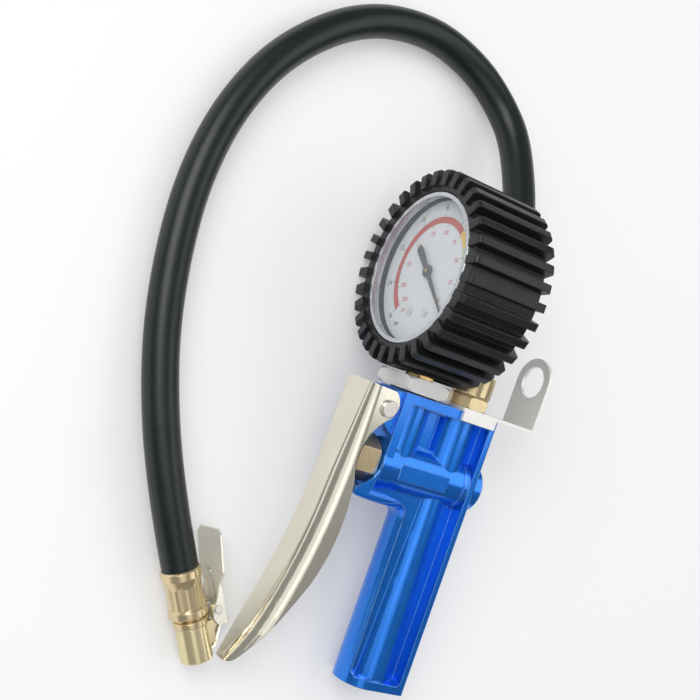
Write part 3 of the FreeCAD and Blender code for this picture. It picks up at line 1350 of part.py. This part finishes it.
def clip_spring():
    """Torsion coil round the clip's pin, between the ears, with a leg up the pad and across it."""
    width = value("(ear_half - ear_thickness) * 2") - 0.4
    up = Vector(0, 1, 0)
    over = Vector(0.12, 0.45, -0.9).normalize()
    leg = [(Vector(0, 3, 0.15), up), (Vector(0, 14, 0), up), (Vector(0.3, 1.6, -1.2), over), (over * 6, over)]
    shape, least = coil(1.95, 0.8, width, 3, leg)
    print("clip spring: least gap between turns %.2f mm" % least)
    shape.Placement = Placement(Vector(value("clip_pin_x"), -width / 2, value("clip_pin_z")),
                                TURNS["+Y"]).multiply(shape.Placement)
    return solid("clip_spring", shape)


# Make every piece and note the frame that it is built in.
GUN_PIECES = {
    "rubber_boot": rubber_boot(),
    "gauge_case": gauge_case(),
    "bezel_ring": bezel_ring(),
    "window": window(),
    "dial_plate": dial_plate(),
    "dial_screws": dial_screws(),
    "pointer": pointer(),
    "pinion_arbor": pinion_arbor(),
    "hairspring": hairspring(),
    "movement_plates": movement_plates(),
    "sector_gear": sector_gear(),
    "link": link_bar(),
    "bourdon_tube": bourdon_tube(),
    "gauge_socket": gauge_socket(),
    "case_screws": case_screws(),
    "gauge_adapter": gauge_adapter(),
    "adapter_washer": adapter_washer(),
    "body_casting": body_casting(),
    "valve_bush": valve_bush(),
    "stem_oring": stem_oring(),
    "push_pin": push_pin(),
    "valve_seat": valve_seat(),
    "valve_poppet": valve_poppet(),
    "poppet_seal": poppet_seal(),
    "valve_spring": valve_spring(),
    "lever": lever(),
    "lever_pin": lever_pin(),
    "pin_clip": pin_clip(),
    "hang_bracket": hang_bracket(),
    "outlet_fitting": outlet_fitting(),
    "gun_ferrule": gun_ferrule(),
}
CHUCK_PIECES = {
    "chuck_socket": chuck_socket(),
    "chuck_nipple": chuck_nipple(),
    "lock_ring": lock_ring(),
    "chuck_body": chuck_body(),
    "chuck_seal": chuck_seal(),
    "chuck_core": chuck_core(),
    "clip_lever": clip_lever(),
    "clip_pin": clip_pin(),
    "clip_spring": clip_spring(),
}
hose_piece = hose()
doc.recompute()


def lay_down():
    """Put every piece in the row's frame: on the surface, centred without the hose and chuck."""
    box_of_gun = FreeCAD.BoundBox()
    for item in GUN_PIECES.values():
        shape = item.Shape.copy()
        shape.Placement = LYING.multiply(item.Placement)
        box_of_gun.add(shape.optimalBoundingBox(False))
    centre = box_of_gun.Center
    shift = Placement(Vector(-centre.x, -centre.y, -box_of_gun.ZMin), Rotation())
    pieces = {}
    for frame, group in ((LYING, GUN_PIECES), (chuck_frame(), CHUCK_PIECES),
                         (Placement(), {"hose": hose_piece})):
        for name, item in group.items():
            item.setExpression("Placement.Base.x", None)
            item.setExpression("Placement.Base.y", None)
            item.setExpression("Placement.Base.z", None)
            item.Placement = shift.multiply(frame).multiply(item.Placement)
            item.Label = name
            pieces[name] = item
    doc.recompute()
    print("tilt %.3f degrees, boot centre at %s" % (TILT, shift.multVec(LYING.Base)))
    return pieces


pieces = lay_down()

for item in doc.Objects:
    if "Invalid" in item.State or "Error" in item.State:
        raise RuntimeError("%s did not build: %s" % (item.Name, item.State))
for name, item in pieces.items():
    if item.Shape.isNull() or not item.Shape.isValid() or not item.Shape.Solids:
        raise RuntimeError("%s has no valid solid" % name)

os.makedirs("parts", exist_ok=True)
for name, item in pieces.items():
    item.Shape.exportStep("parts/%s.step" % name)
print("%d pieces written" % len(pieces))
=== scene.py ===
import json
import math

import bmesh
import bpy
from mathutils import Matrix, Vector


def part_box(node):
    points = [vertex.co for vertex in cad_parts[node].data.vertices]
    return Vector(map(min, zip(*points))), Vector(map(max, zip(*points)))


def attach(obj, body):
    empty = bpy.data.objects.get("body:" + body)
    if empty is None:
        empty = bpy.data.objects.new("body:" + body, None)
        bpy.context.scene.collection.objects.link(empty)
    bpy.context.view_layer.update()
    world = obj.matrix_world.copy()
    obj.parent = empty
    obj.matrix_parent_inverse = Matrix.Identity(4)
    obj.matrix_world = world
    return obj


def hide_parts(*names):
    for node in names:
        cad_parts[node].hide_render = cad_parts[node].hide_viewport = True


# Looks for the tyre inflator lying on its side. Metres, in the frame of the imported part.
# Gun frame, in millimetres: X runs back from the dial, Z from the handle to the gauge, Y down to the floor.

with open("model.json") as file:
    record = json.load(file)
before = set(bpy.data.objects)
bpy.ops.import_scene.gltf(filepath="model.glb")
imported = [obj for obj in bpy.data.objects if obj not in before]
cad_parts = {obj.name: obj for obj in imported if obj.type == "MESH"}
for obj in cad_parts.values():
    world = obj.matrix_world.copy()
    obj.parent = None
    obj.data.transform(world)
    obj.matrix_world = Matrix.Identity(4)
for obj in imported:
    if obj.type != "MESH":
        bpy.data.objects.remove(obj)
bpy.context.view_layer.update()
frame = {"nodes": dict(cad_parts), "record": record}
nodes = frame["nodes"]

MM = 0.001
TILT = math.radians(10.464)
DIAL_FACE = 10.20
DIAL_THICKNESS = 0.6
dial_low, dial_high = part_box("dial_plate")
dial_middle = (dial_low + dial_high) / 2
dial_depth = (DIAL_FACE + DIAL_THICKNESS / 2) * MM
gun_place = Matrix.Translation(dial_middle - Vector((dial_depth, 0, 0)))
GUN = gun_place @ Matrix.Rotation(TILT - math.pi / 2, 4, "X")
PLAN = Vector((GUN.translation.x, GUN.translation.y, 0))


def gun(x, y, z):
    """A point of the gun frame, given in millimetres, in the part's frame."""
    return GUN @ (Vector((x, y, z)) * MM)


def shown(name, data):
    """A new object in the scene."""
    thing = bpy.data.objects.new(name, data)
    bpy.context.scene.collection.objects.link(thing)
    return thing


# camera
FOCAL = 61.16
SENSOR = 36.0
ROLL = math.radians(19.5)
eye = gun(-305.8, -490.9, -50.5)
aim = gun(-17.5, 0.0, -49.2)
forward = (aim - eye).normalized()
lift = GUN.to_3x3() @ Vector((0, 0, 1))
lift = (lift - forward * lift.dot(forward)).normalized()
side = forward.cross(lift)
view_up = lift * math.cos(ROLL) - side * math.sin(ROLL)
view_right = forward.cross(view_up)
camera = shown("camera", bpy.data.cameras.new("camera"))
camera.data.lens = FOCAL
camera.data.sensor_width = SENSOR
camera.data.clip_start = 0.01
camera.matrix_world = Matrix((
    (view_right.x, view_up.x, -forward.x, eye.x),
    (view_right.y, view_up.y, -forward.y, eye.y),
    (view_right.z, view_up.z, -forward.z, eye.z),
    (0, 0, 0, 1)))
bpy.context.scene.camera = camera


# hose: points of its middle line in millimetres, from the floor under the gun frame's origin
HOSE_ROUTE = [
    (58.5, -50.2, 40.7), (58.5, -15.2, 47.2), (67.9, 42.0, 39.2), (66.4, 92.9, 20.7), (55.7, 114.1, 12.5),
    (34.6, 129.9, 9.0), (0.7, 136.3, 8.9), (-39.3, 124.5, 9.0), (-74.7, 92.7, 9.0), (-95.6, 54.3, 9.0),
    (-105.1, 11.3, 9.0), (-104.5, -34.0, 9.2), (-98.0, -78.0, 11.1), (-81.4, -131.0, 15.8),
    (-58.6, -171.2, 12.4)]
HOSE_DIAMETER = 0.0175


def nurbs_line(name, points, radius):
    """A round line; each point carries the radius, so that the curve's box fits it."""
    curve = bpy.data.curves.new(name, "CURVE")
    curve.dimensions = "3D"
    spline = curve.splines.new("NURBS")
    spline.points.add(len(points) - 1)
    for spot, point in zip(spline.points, points):
        spot.co = (point.x, point.y, point.z, 1.0)
        spot.radius = radius
    spline.order_u = 3
    spline.use_endpoint_u = True
    spline.resolution_u = 24
    curve.bevel_depth = 1.0
    curve.bevel_resolution = 12
    return shown(name, curve)


route = [PLAN + Vector(point) * MM for point in HOSE_ROUTE]
hose = nurbs_line("hose_line", route, HOSE_DIAMETER / 2)
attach(hose, "gun")
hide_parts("hose")


# materials
def new_material(name):
    material = bpy.data.materials.new(name)
    material.use_nodes = True
    return material, material.node_tree.nodes, material.node_tree.links


def noise(tree_nodes, links, place, scale, detail=3.0, rough=0.55):
    texture = tree_nodes.new("ShaderNodeTexNoise")
    texture.inputs["Scale"].default_value = scale
    texture.inputs["Detail"].default_value = detail
    texture.inputs["Roughness"].default_value = rough
    links.new(place, texture.inputs["Vector"])
    return texture.outputs["Fac"]


def spread(tree_nodes, links, factor, low, high, start=0.3, end=0.7):
    """Map a factor's middle range to the values from low to high."""
    mapping = tree_nodes.new("ShaderNodeMapRange")
    mapping.inputs["From Min"].default_value = start
    mapping.inputs["From Max"].default_value = end
    mapping.inputs["To Min"].default_value = low
    mapping.inputs["To Max"].default_value = high
    links.new(factor, mapping.inputs["Value"])
    return mapping.outputs["Result"]


def mixed(tree_nodes, links, factor, low, high):
    """Blend two colours, or a node's colour and a fixed one, by a factor."""
    mix = tree_nodes.new("ShaderNodeMix")
    mix.data_type = "RGBA"
    links.new(factor, mix.inputs["Factor"])
    for socket, colour in ((mix.inputs["A"], low), (mix.inputs["B"], high)):
        if isinstance(colour, tuple):
            socket.default_value = (*colour, 1.0)
        else:
            links.new(colour, socket)
    return mix.outputs["Result"]


def edge_wear(tree_nodes, links, rounded, base, edge_highlight_colour):
    """Painted highlight: lighten the colour where the softened normal leaves the face's own, which is at
    the edges.
    """
    geometry = tree_nodes.new("ShaderNodeNewGeometry")
    facing = tree_nodes.new("ShaderNodeVectorMath")
    facing.operation = "DOT_PRODUCT"
    links.new(rounded.outputs["Normal"], facing.inputs[0])
    links.new(geometry.outputs["Normal"], facing.inputs[1])
    # mask of the painted edge highlight, strongest right at the edges
    highlight_mask = spread(tree_nodes, links, facing.outputs["Value"], 0.75, 0.0, start=0.86, end=0.985)
    return mixed(tree_nodes, links, highlight_mask, base, edge_highlight_colour)


def surface(name, colour, other, metallic=0.0, roughness=(0.3, 0.4), patch=60.0, grain=900.0, bump=0.15,
            edge=0.0004, edge_highlight_colour=None, coat=0.0, coat_roughness=0.05, stretch=(1, 1, 1)):
    """A finish with drifting colour, patchy gloss, fine grain, softened edges and a painted highlight along
    them.
    """
    material, tree_nodes, links = new_material(name)
    shader = tree_nodes["Principled BSDF"]
    place = tree_nodes.new("ShaderNodeTexCoord").outputs["Object"]
    mapping = tree_nodes.new("ShaderNodeMapping")
    mapping.inputs["Scale"].default_value = stretch
    links.new(place, mapping.inputs["Vector"])
    drift = spread(tree_nodes, links, noise(tree_nodes, links, place, patch), 0.0, 1.0)
    fine = noise(tree_nodes, links, mapping.outputs["Vector"], grain, 2.0)
    base = mixed(tree_nodes, links, drift, colour, other)
    rounded = tree_nodes.new("ShaderNodeBevel")
    rounded.samples = 6
    rounded.inputs["Radius"].default_value = edge
    # edges get a painted highlight: a lighter colour where the softened normal turns away
    if edge_highlight_colour:
        base = edge_wear(tree_nodes, links, rounded, base, edge_highlight_colour)
    links.new(base, shader.inputs["Base Color"])
    links.new(spread(tree_nodes, links, fine, *roughness), shader.inputs["Roughness"])
    shader.inputs["Metallic"].default_value = metallic
    shader.inputs["Specular IOR Level"].default_value = 0.5
    shader.inputs["Coat Weight"].default_value = coat
    shader.inputs["Coat Roughness"].default_value = coat_roughness
    relief = tree_nodes.new("ShaderNodeBump")
    relief.inputs["Strength"].default_value = bump
    relief.inputs["Distance"].default_value = 0.0002
    links.new(fine, relief.inputs["Height"])
    links.new(rounded.outputs["Normal"], relief.inputs["Normal"])
    links.new(relief.outputs["Normal"], shader.inputs["Normal"])
    return material


def glass(name):
    """Clear window: nearly see-through, its gloss slightly uneven."""
    material, tree_nodes, links = new_material(name)
    shader = tree_nodes["Principled BSDF"]
    place = tree_nodes.new("ShaderNodeTexCoord").outputs["Object"]
    fine = noise(tree_nodes, links, place, 300.0)
    tint = mixed(tree_nodes, links, fine, (0.75, 0.8, 0.82), (0.85, 0.88, 0.9))
    links.new(tint, shader.inputs["Base Color"])
    links.new(spread(tree_nodes, links, fine, 0.02, 0.05), shader.inputs["Roughness"])
    shader.inputs["Alpha"].default_value = 0.09
    shader.inputs["Specular IOR Level"].default_value = 0.5
    return material


# Each finish: two colours it drifts between, then what sets it apart.
# Each edge highlight colour below is a painted highlight along the edges.
LOOKS = {
    "casting_blue": dict(
        colour=(0.010, 0.205, 0.82), other=(0.014, 0.235, 0.90), metallic=0.74, roughness=(0.20, 0.27),
        patch=35, grain=160, bump=0.01, edge=0.0007, edge_highlight_colour=(0.26, 0.55, 1.0), coat=0.6,
        coat_roughness=0.08),
    "lever_nickel": dict(
        colour=(0.84, 0.80, 0.68), other=(0.78, 0.74, 0.62), metallic=0.8, roughness=(0.12, 0.18),
        patch=25, grain=200, bump=0.01, edge_highlight_colour=(0.95, 0.93, 0.86), stretch=(6, 1, 1)),
    "adapter_nickel": dict(
        colour=(0.88, 0.88, 0.85), other=(0.82, 0.82, 0.79), metallic=0.45, roughness=(0.16, 0.24),
        patch=60, grain=150, bump=0.01, edge_highlight_colour=(0.95, 0.95, 0.94)),
    "bracket_zinc": dict(
        colour=(0.88, 0.87, 0.84), other=(0.84, 0.83, 0.80), metallic=0.3, roughness=(0.3, 0.4),
        patch=45, grain=150, bump=0.01, edge_highlight_colour=(0.95, 0.95, 0.94)),
    "fitting_yellow_zinc": dict(
        colour=(0.78, 0.63, 0.36), other=(0.72, 0.58, 0.36), metallic=0.75, roughness=(0.18, 0.26),
        patch=60, grain=160, bump=0.01, edge_highlight_colour=(0.92, 0.83, 0.6)),
    "chuck_nickel": dict(
        colour=(0.80, 0.70, 0.42), other=(0.72, 0.63, 0.38), metallic=0.65, roughness=(0.16, 0.24),
        patch=60, grain=160, bump=0.01, edge_highlight_colour=(0.9, 0.82, 0.62)),
    "clip_steel": dict(
        colour=(0.86, 0.84, 0.74), other=(0.78, 0.76, 0.67), metallic=0.45, roughness=(0.16, 0.24),
        patch=60, grain=160, bump=0.01, edge=0.0003, edge_highlight_colour=(0.95, 0.93, 0.88)),
    "screw_steel": dict(
        colour=(0.80, 0.78, 0.72), other=(0.74, 0.72, 0.66), metallic=0.8, roughness=(0.2, 0.28),
        patch=90, grain=160, bump=0.01),
    "spring_steel": dict(
        colour=(0.86, 0.86, 0.85), other=(0.78, 0.78, 0.77), metallic=1.0, roughness=(0.2, 0.3),
        patch=150, grain=800, bump=0.03),
    "movement_brass": dict(
        colour=(0.66, 0.46, 0.2), other=(0.58, 0.40, 0.17), metallic=1.0, roughness=(0.2, 0.32),
        patch=100, grain=700, bump=0.03),
    "spring_bronze": dict(
        colour=(0.62, 0.42, 0.22), other=(0.52, 0.35, 0.18), metallic=1.0, roughness=(0.2, 0.32),
        patch=100, grain=700, bump=0.03),
    "bezel_chrome": dict(
        colour=(0.62, 0.64, 0.67), other=(0.54, 0.56, 0.60), metallic=1.0, roughness=(0.22, 0.30),
        patch=60, grain=160, bump=0.01, edge=0.0003),
    "case_steel": dict(
        colour=(0.018, 0.018, 0.02), other=(0.028, 0.028, 0.03), roughness=(0.25, 0.4),
        patch=60, grain=900, bump=0.1),
    "boot_rubber": dict(
        colour=(0.0060, 0.0066, 0.0068), other=(0.010, 0.011, 0.011), roughness=(0.34, 0.44),
        patch=90, grain=1200, bump=0.12, edge=0.0009, edge_highlight_colour=(0.022, 0.024, 0.024)),
    "seal_rubber": dict(
        colour=(0.02, 0.02, 0.02), other=(0.03, 0.03, 0.03), roughness=(0.5, 0.65),
        patch=90, grain=1500, bump=0.2),
    "hose_rubber": dict(
        colour=(0.0055, 0.0095, 0.0092), other=(0.0085, 0.014, 0.013), roughness=(0.30, 0.42),
        patch=40, grain=1100, bump=0.15, edge=0.0),
    "dial_white": dict(
        colour=(0.74, 0.77, 0.79), other=(0.70, 0.73, 0.76), roughness=(0.35, 0.5),
        patch=40, grain=900, bump=0.02),
    "pointer_black": dict(
        colour=(0.02, 0.024, 0.024), other=(0.035, 0.04, 0.04), roughness=(0.3, 0.45),
        patch=60, grain=900, bump=0.05),
}
FINISHES = {name: surface(name, **look) for name, look in LOOKS.items()}
FINISHES["window_clear"] = glass("window_clear")
SLOTS = {entry["node"]: entry["material_slot"] for entry in frame["record"]["subparts"]}
for name, thing in nodes.items():
    finish = FINISHES[SLOTS[name]]
    if not thing.material_slots:
        thing.data.materials.append(finish)
    for slot in thing.material_slots:
        slot.material = finish
hose.data.materials.append(FINISHES["hose_rubber"])


def ink(name, colour):
    """A printed colour that drifts to a slightly lighter one."""
    lighter = tuple(min(1.0, value * 1.12 + 0.01) for value in colour)
    return surface(name, colour, lighter, roughness=(0.4, 0.55), patch=200, grain=1500, bump=0.02)


BLACK = ink("ink_black", (0.03, 0.03, 0.035))
RED = ink("ink_red", (0.50, 0.045, 0.04))
YELLOW = ink("ink_yellow", (0.80, 0.55, 0.08))
GREEN = ink("ink_green", (0.35, 0.60, 0.38))


# dial: angles in degrees clockwise from the top, seen from the front, and radii in millimetres
ZERO = 129.0
FULL = -141.0
ART_TURN = -6.0
BAND_INNER = 25.3
BAND_OUTER = 28.6
BAND_STEP = 2.5
BAR_FULL = 16
BAR_STEPS = 80
PSI_FULL = 220
PSI_STEPS = 44
INK_LIFT = 0.03
NUMERAL_LIFT = 0.04
NUMERAL_BOLDNESS = 0.012


def scale_angle(share):
    """The angle at a share of the scale."""
    return ZERO + (FULL - ZERO) * share


def dial_spot(angle, radius, lift_off):
    """A place in front of the dial's face, in the gun frame."""
    turn = math.radians(angle)
    return Vector((DIAL_FACE - lift_off, -radius * math.sin(turn), radius * math.cos(turn))) * MM


def dial_mesh(name, quads, material):
    """Flat printed shapes; each quad is four (angle, radius) corners."""
    mesh = bmesh.new()
    for quad in quads:
        corners = [mesh.verts.new(GUN @ dial_spot(angle, radius, INK_LIFT)) for angle, radius in quad]
        mesh.faces.new(corners)
    bmesh.ops.recalc_face_normals(mesh, faces=mesh.faces)
    data = bpy.data.meshes.new(name)
    mesh.to_mesh(data)
    mesh.free()
    data.materials.append(material)
    thing = shown(name, data)
    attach(thing, "gun")


def band(name, start, end, material):
    """A coloured arc along the scale."""
    steps = max(2, int(abs(end - start) / BAND_STEP))
    angles = [start + (end - start) * step / steps for step in range(steps + 1)]
    quads = [((a, BAND_INNER), (a, BAND_OUTER), (b, BAND_OUTER), (b, BAND_INNER))
             for a, b in zip(angles, angles[1:])]
    dial_mesh(name, quads, material)


def tick(angle, inner, outer, width):
    """A straight mark along a radius."""
    near = math.degrees(width / 2 / inner)
    far = math.degrees(width / 2 / outer)
    return ((angle - near, inner), (angle - far, outer), (angle + far, outer), (angle + near, inner))


def bar_tick(step):
    """A mark for each fifth of a bar, longer at every bar and longest at every second bar."""
    angle = scale_angle(step / BAR_STEPS)
    if step % 10 == 0:
        return tick(angle, 27.0, 30.6, 0.40)
    if step % 5 == 0:
        return tick(angle, 28.0, 30.1, 0.28)
    return tick(angle, 28.4, 29.6, 0.18)


def psi_tick(step):
    """A mark for every 5 psi, longer at every 25 psi."""
    angle = scale_angle(step / PSI_STEPS)
    if step % 5 == 0:
        return tick(angle, 23.6, 25.5, 0.36)
    return tick(angle, 24.5, 25.5, 0.2)


band("dial_band_red", FULL, 36, RED)
band("dial_band_yellow", 36, 58, YELLOW)
band("dial_band_green", 58, 75, GREEN)
dial_mesh("dial_ticks_outer", [bar_tick(step) for step in range(BAR_STEPS + 1)], BLACK)
dial_mesh("dial_ticks_inner", [psi_tick(step) for step in range(PSI_STEPS + 1)], BLACK)


def numeral(name, text, angle, radius, size, material):
    """Printed characters centred on a place of the dial, all leaning by the same small angle."""
    curve = bpy.data.curves.new(name, "FONT")
    curve.body = text
    curve.size = size * MM
    curve.align_x = "CENTER"
    curve.align_y = "CENTER"
    curve.offset = size * NUMERAL_BOLDNESS * MM
    curve.materials.append(material)
    thing = shown(name, curve)
    facing = Matrix(((0, 0, -1), (-1, 0, 0), (0, 1, 0))).to_4x4()
    turn = Matrix.Rotation(math.radians(ART_TURN), 4, "X")
    thing.matrix_world = GUN @ Matrix.Translation(dial_spot(angle, radius, NUMERAL_LIFT)) @ turn @ facing
    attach(thing, "gun")


for number in range(0, BAR_FULL + 1, 2):
    place = scale_angle(number / BAR_FULL)
    numeral("bar_%d" % number, str(number), place, radius=33.2, size=3.9, material=BLACK)
for number in (0, 25, 50, 75, 100, 125, 150, 175, 200, PSI_FULL):
    place = scale_angle(number / PSI_FULL)
    numeral("psi_%d" % number, str(number), place, radius=20.6, size=3.2, material=RED)
numeral("unit_bar", "bar", -156, radius=31.5, size=3.4, material=BLACK)
numeral("unit_psi", "psi", -152, radius=24.0, size=3.0, material=RED)


# floor and light
FLOOR_HALF = 4
FLOOR_COLOUR = (0.6, 0.6, 0.6, 1)
FLOOR_GLOW = 0.25
DAYLIGHT = (0.62, 0.62, 0.63, 1)


def seen_rays(tree_nodes, links):
    """1 for the rays that show the floor: from the camera, off gloss and through glass."""
    rays = tree_nodes.new("ShaderNodeLightPath").outputs
    seen = rays["Is Camera Ray"]
    for ray in ("Is Glossy Ray", "Is Transmission Ray"):
        either = tree_nodes.new("ShaderNodeMath")
        either.operation = "MAXIMUM"
        links.new(seen, either.inputs[0])
        links.new(rays[ray], either.inputs[1])
        seen = either.outputs["Value"]
    return seen


def floor():
    """A pale floor that is brighter where it is seen and still takes the object's shadow."""
    mesh = bmesh.new()
    signs = ((-1, -1), (1, -1), (1, 1), (-1, 1))
    mesh.faces.new([mesh.verts.new((x * FLOOR_HALF, y * FLOOR_HALF, 0)) for x, y in signs])
    data = bpy.data.meshes.new("floor")
    mesh.to_mesh(data)
    mesh.free()
    material, tree_nodes, links = new_material("floor_white")
    shader = tree_nodes["Principled BSDF"]
    shader.inputs["Base Color"].default_value = FLOOR_COLOUR
    shader.inputs["Emission Color"].default_value = (1, 1, 1, 1)
    glow = spread(tree_nodes, links, seen_rays(tree_nodes, links), 0.0, FLOOR_GLOW, start=0.0, end=1.0)
    links.new(glow, shader.inputs["Emission Strength"])
    shader.inputs["Roughness"].default_value = 0.9
    shader.inputs["Specular IOR Level"].default_value = 0.1
    data.materials.append(material)
    shown("floor", data)


def softbox(name, place, target, width, height, power):
    """An area lamp at a place, turned to a target."""
    lamp = bpy.data.lights.new(name, "AREA")
    lamp.shape = "RECTANGLE"
    lamp.size = width
    lamp.size_y = height
    lamp.energy = power
    thing = shown(name, lamp)
    turn = (Vector(target) - Vector(place)).to_track_quat("-Z", "Y")
    thing.matrix_world = Matrix.Translation(Vector(place)) @ turn.to_matrix().to_4x4()


def studio():
    """Even daylight, but a darker room in reflections, bright only near the horizon."""
    world = bpy.data.worlds.new("studio")
    bpy.context.scene.world = world
    world.use_nodes = True
    sky_nodes = world.node_tree.nodes
    sky_links = world.node_tree.links
    background = sky_nodes["Background"]
    direction = sky_nodes.new("ShaderNodeTexCoord").outputs["Generated"]
    split = sky_nodes.new("ShaderNodeSeparateXYZ")
    sky_links.new(direction, split.inputs[0])
    ramp = sky_nodes.new("ShaderNodeValToRGB")
    stops = ramp.color_ramp.elements
    stops[0].position = 0.0
    stops[0].color = (0.6, 0.6, 0.6, 1)
    stops[1].position = 1.0
    stops[1].color = (0.16, 0.16, 0.17, 1)
    stops.new(0.14).color = (0.09, 0.09, 0.09, 1)
    stops.new(0.6).color = (0.11, 0.11, 0.11, 1)
    sky_links.new(split.outputs["Z"], ramp.inputs["Fac"])
    rays = sky_nodes.new("ShaderNodeLightPath")
    pick = sky_nodes.new("ShaderNodeMix")
    pick.data_type = "RGBA"
    sky_links.new(rays.outputs["Is Glossy Ray"], pick.inputs["Factor"])
    pick.inputs["A"].default_value = DAYLIGHT
    sky_links.new(ramp.outputs["Color"], pick.inputs["B"])
    sky_links.new(pick.outputs["Result"], background.inputs["Color"])
    background.inputs["Strength"].default_value = 1.0


floor()
softbox("left_key", (-0.85, 0.45, 0.9), (0, 0, 0), width=0.8, height=0.8, power=7.5)
softbox("right_panel", (0.95, 0.48, 1.0), (0.95, 0.48, 0), width=1.1, height=1.4, power=6.5)
softbox("narrow_panel", (-0.2, -0.6, 1.1), (-0.2, -0.6, 0), width=0.6, height=0.8, power=1.0)
softbox("front_fill", eye + Vector((0, 0, 0.06)), aim, width=0.5, height=0.5, power=0.55)
studio()
bpy.context.scene.view_settings.view_transform = "Standard"

bpy.context.view_layer.update()
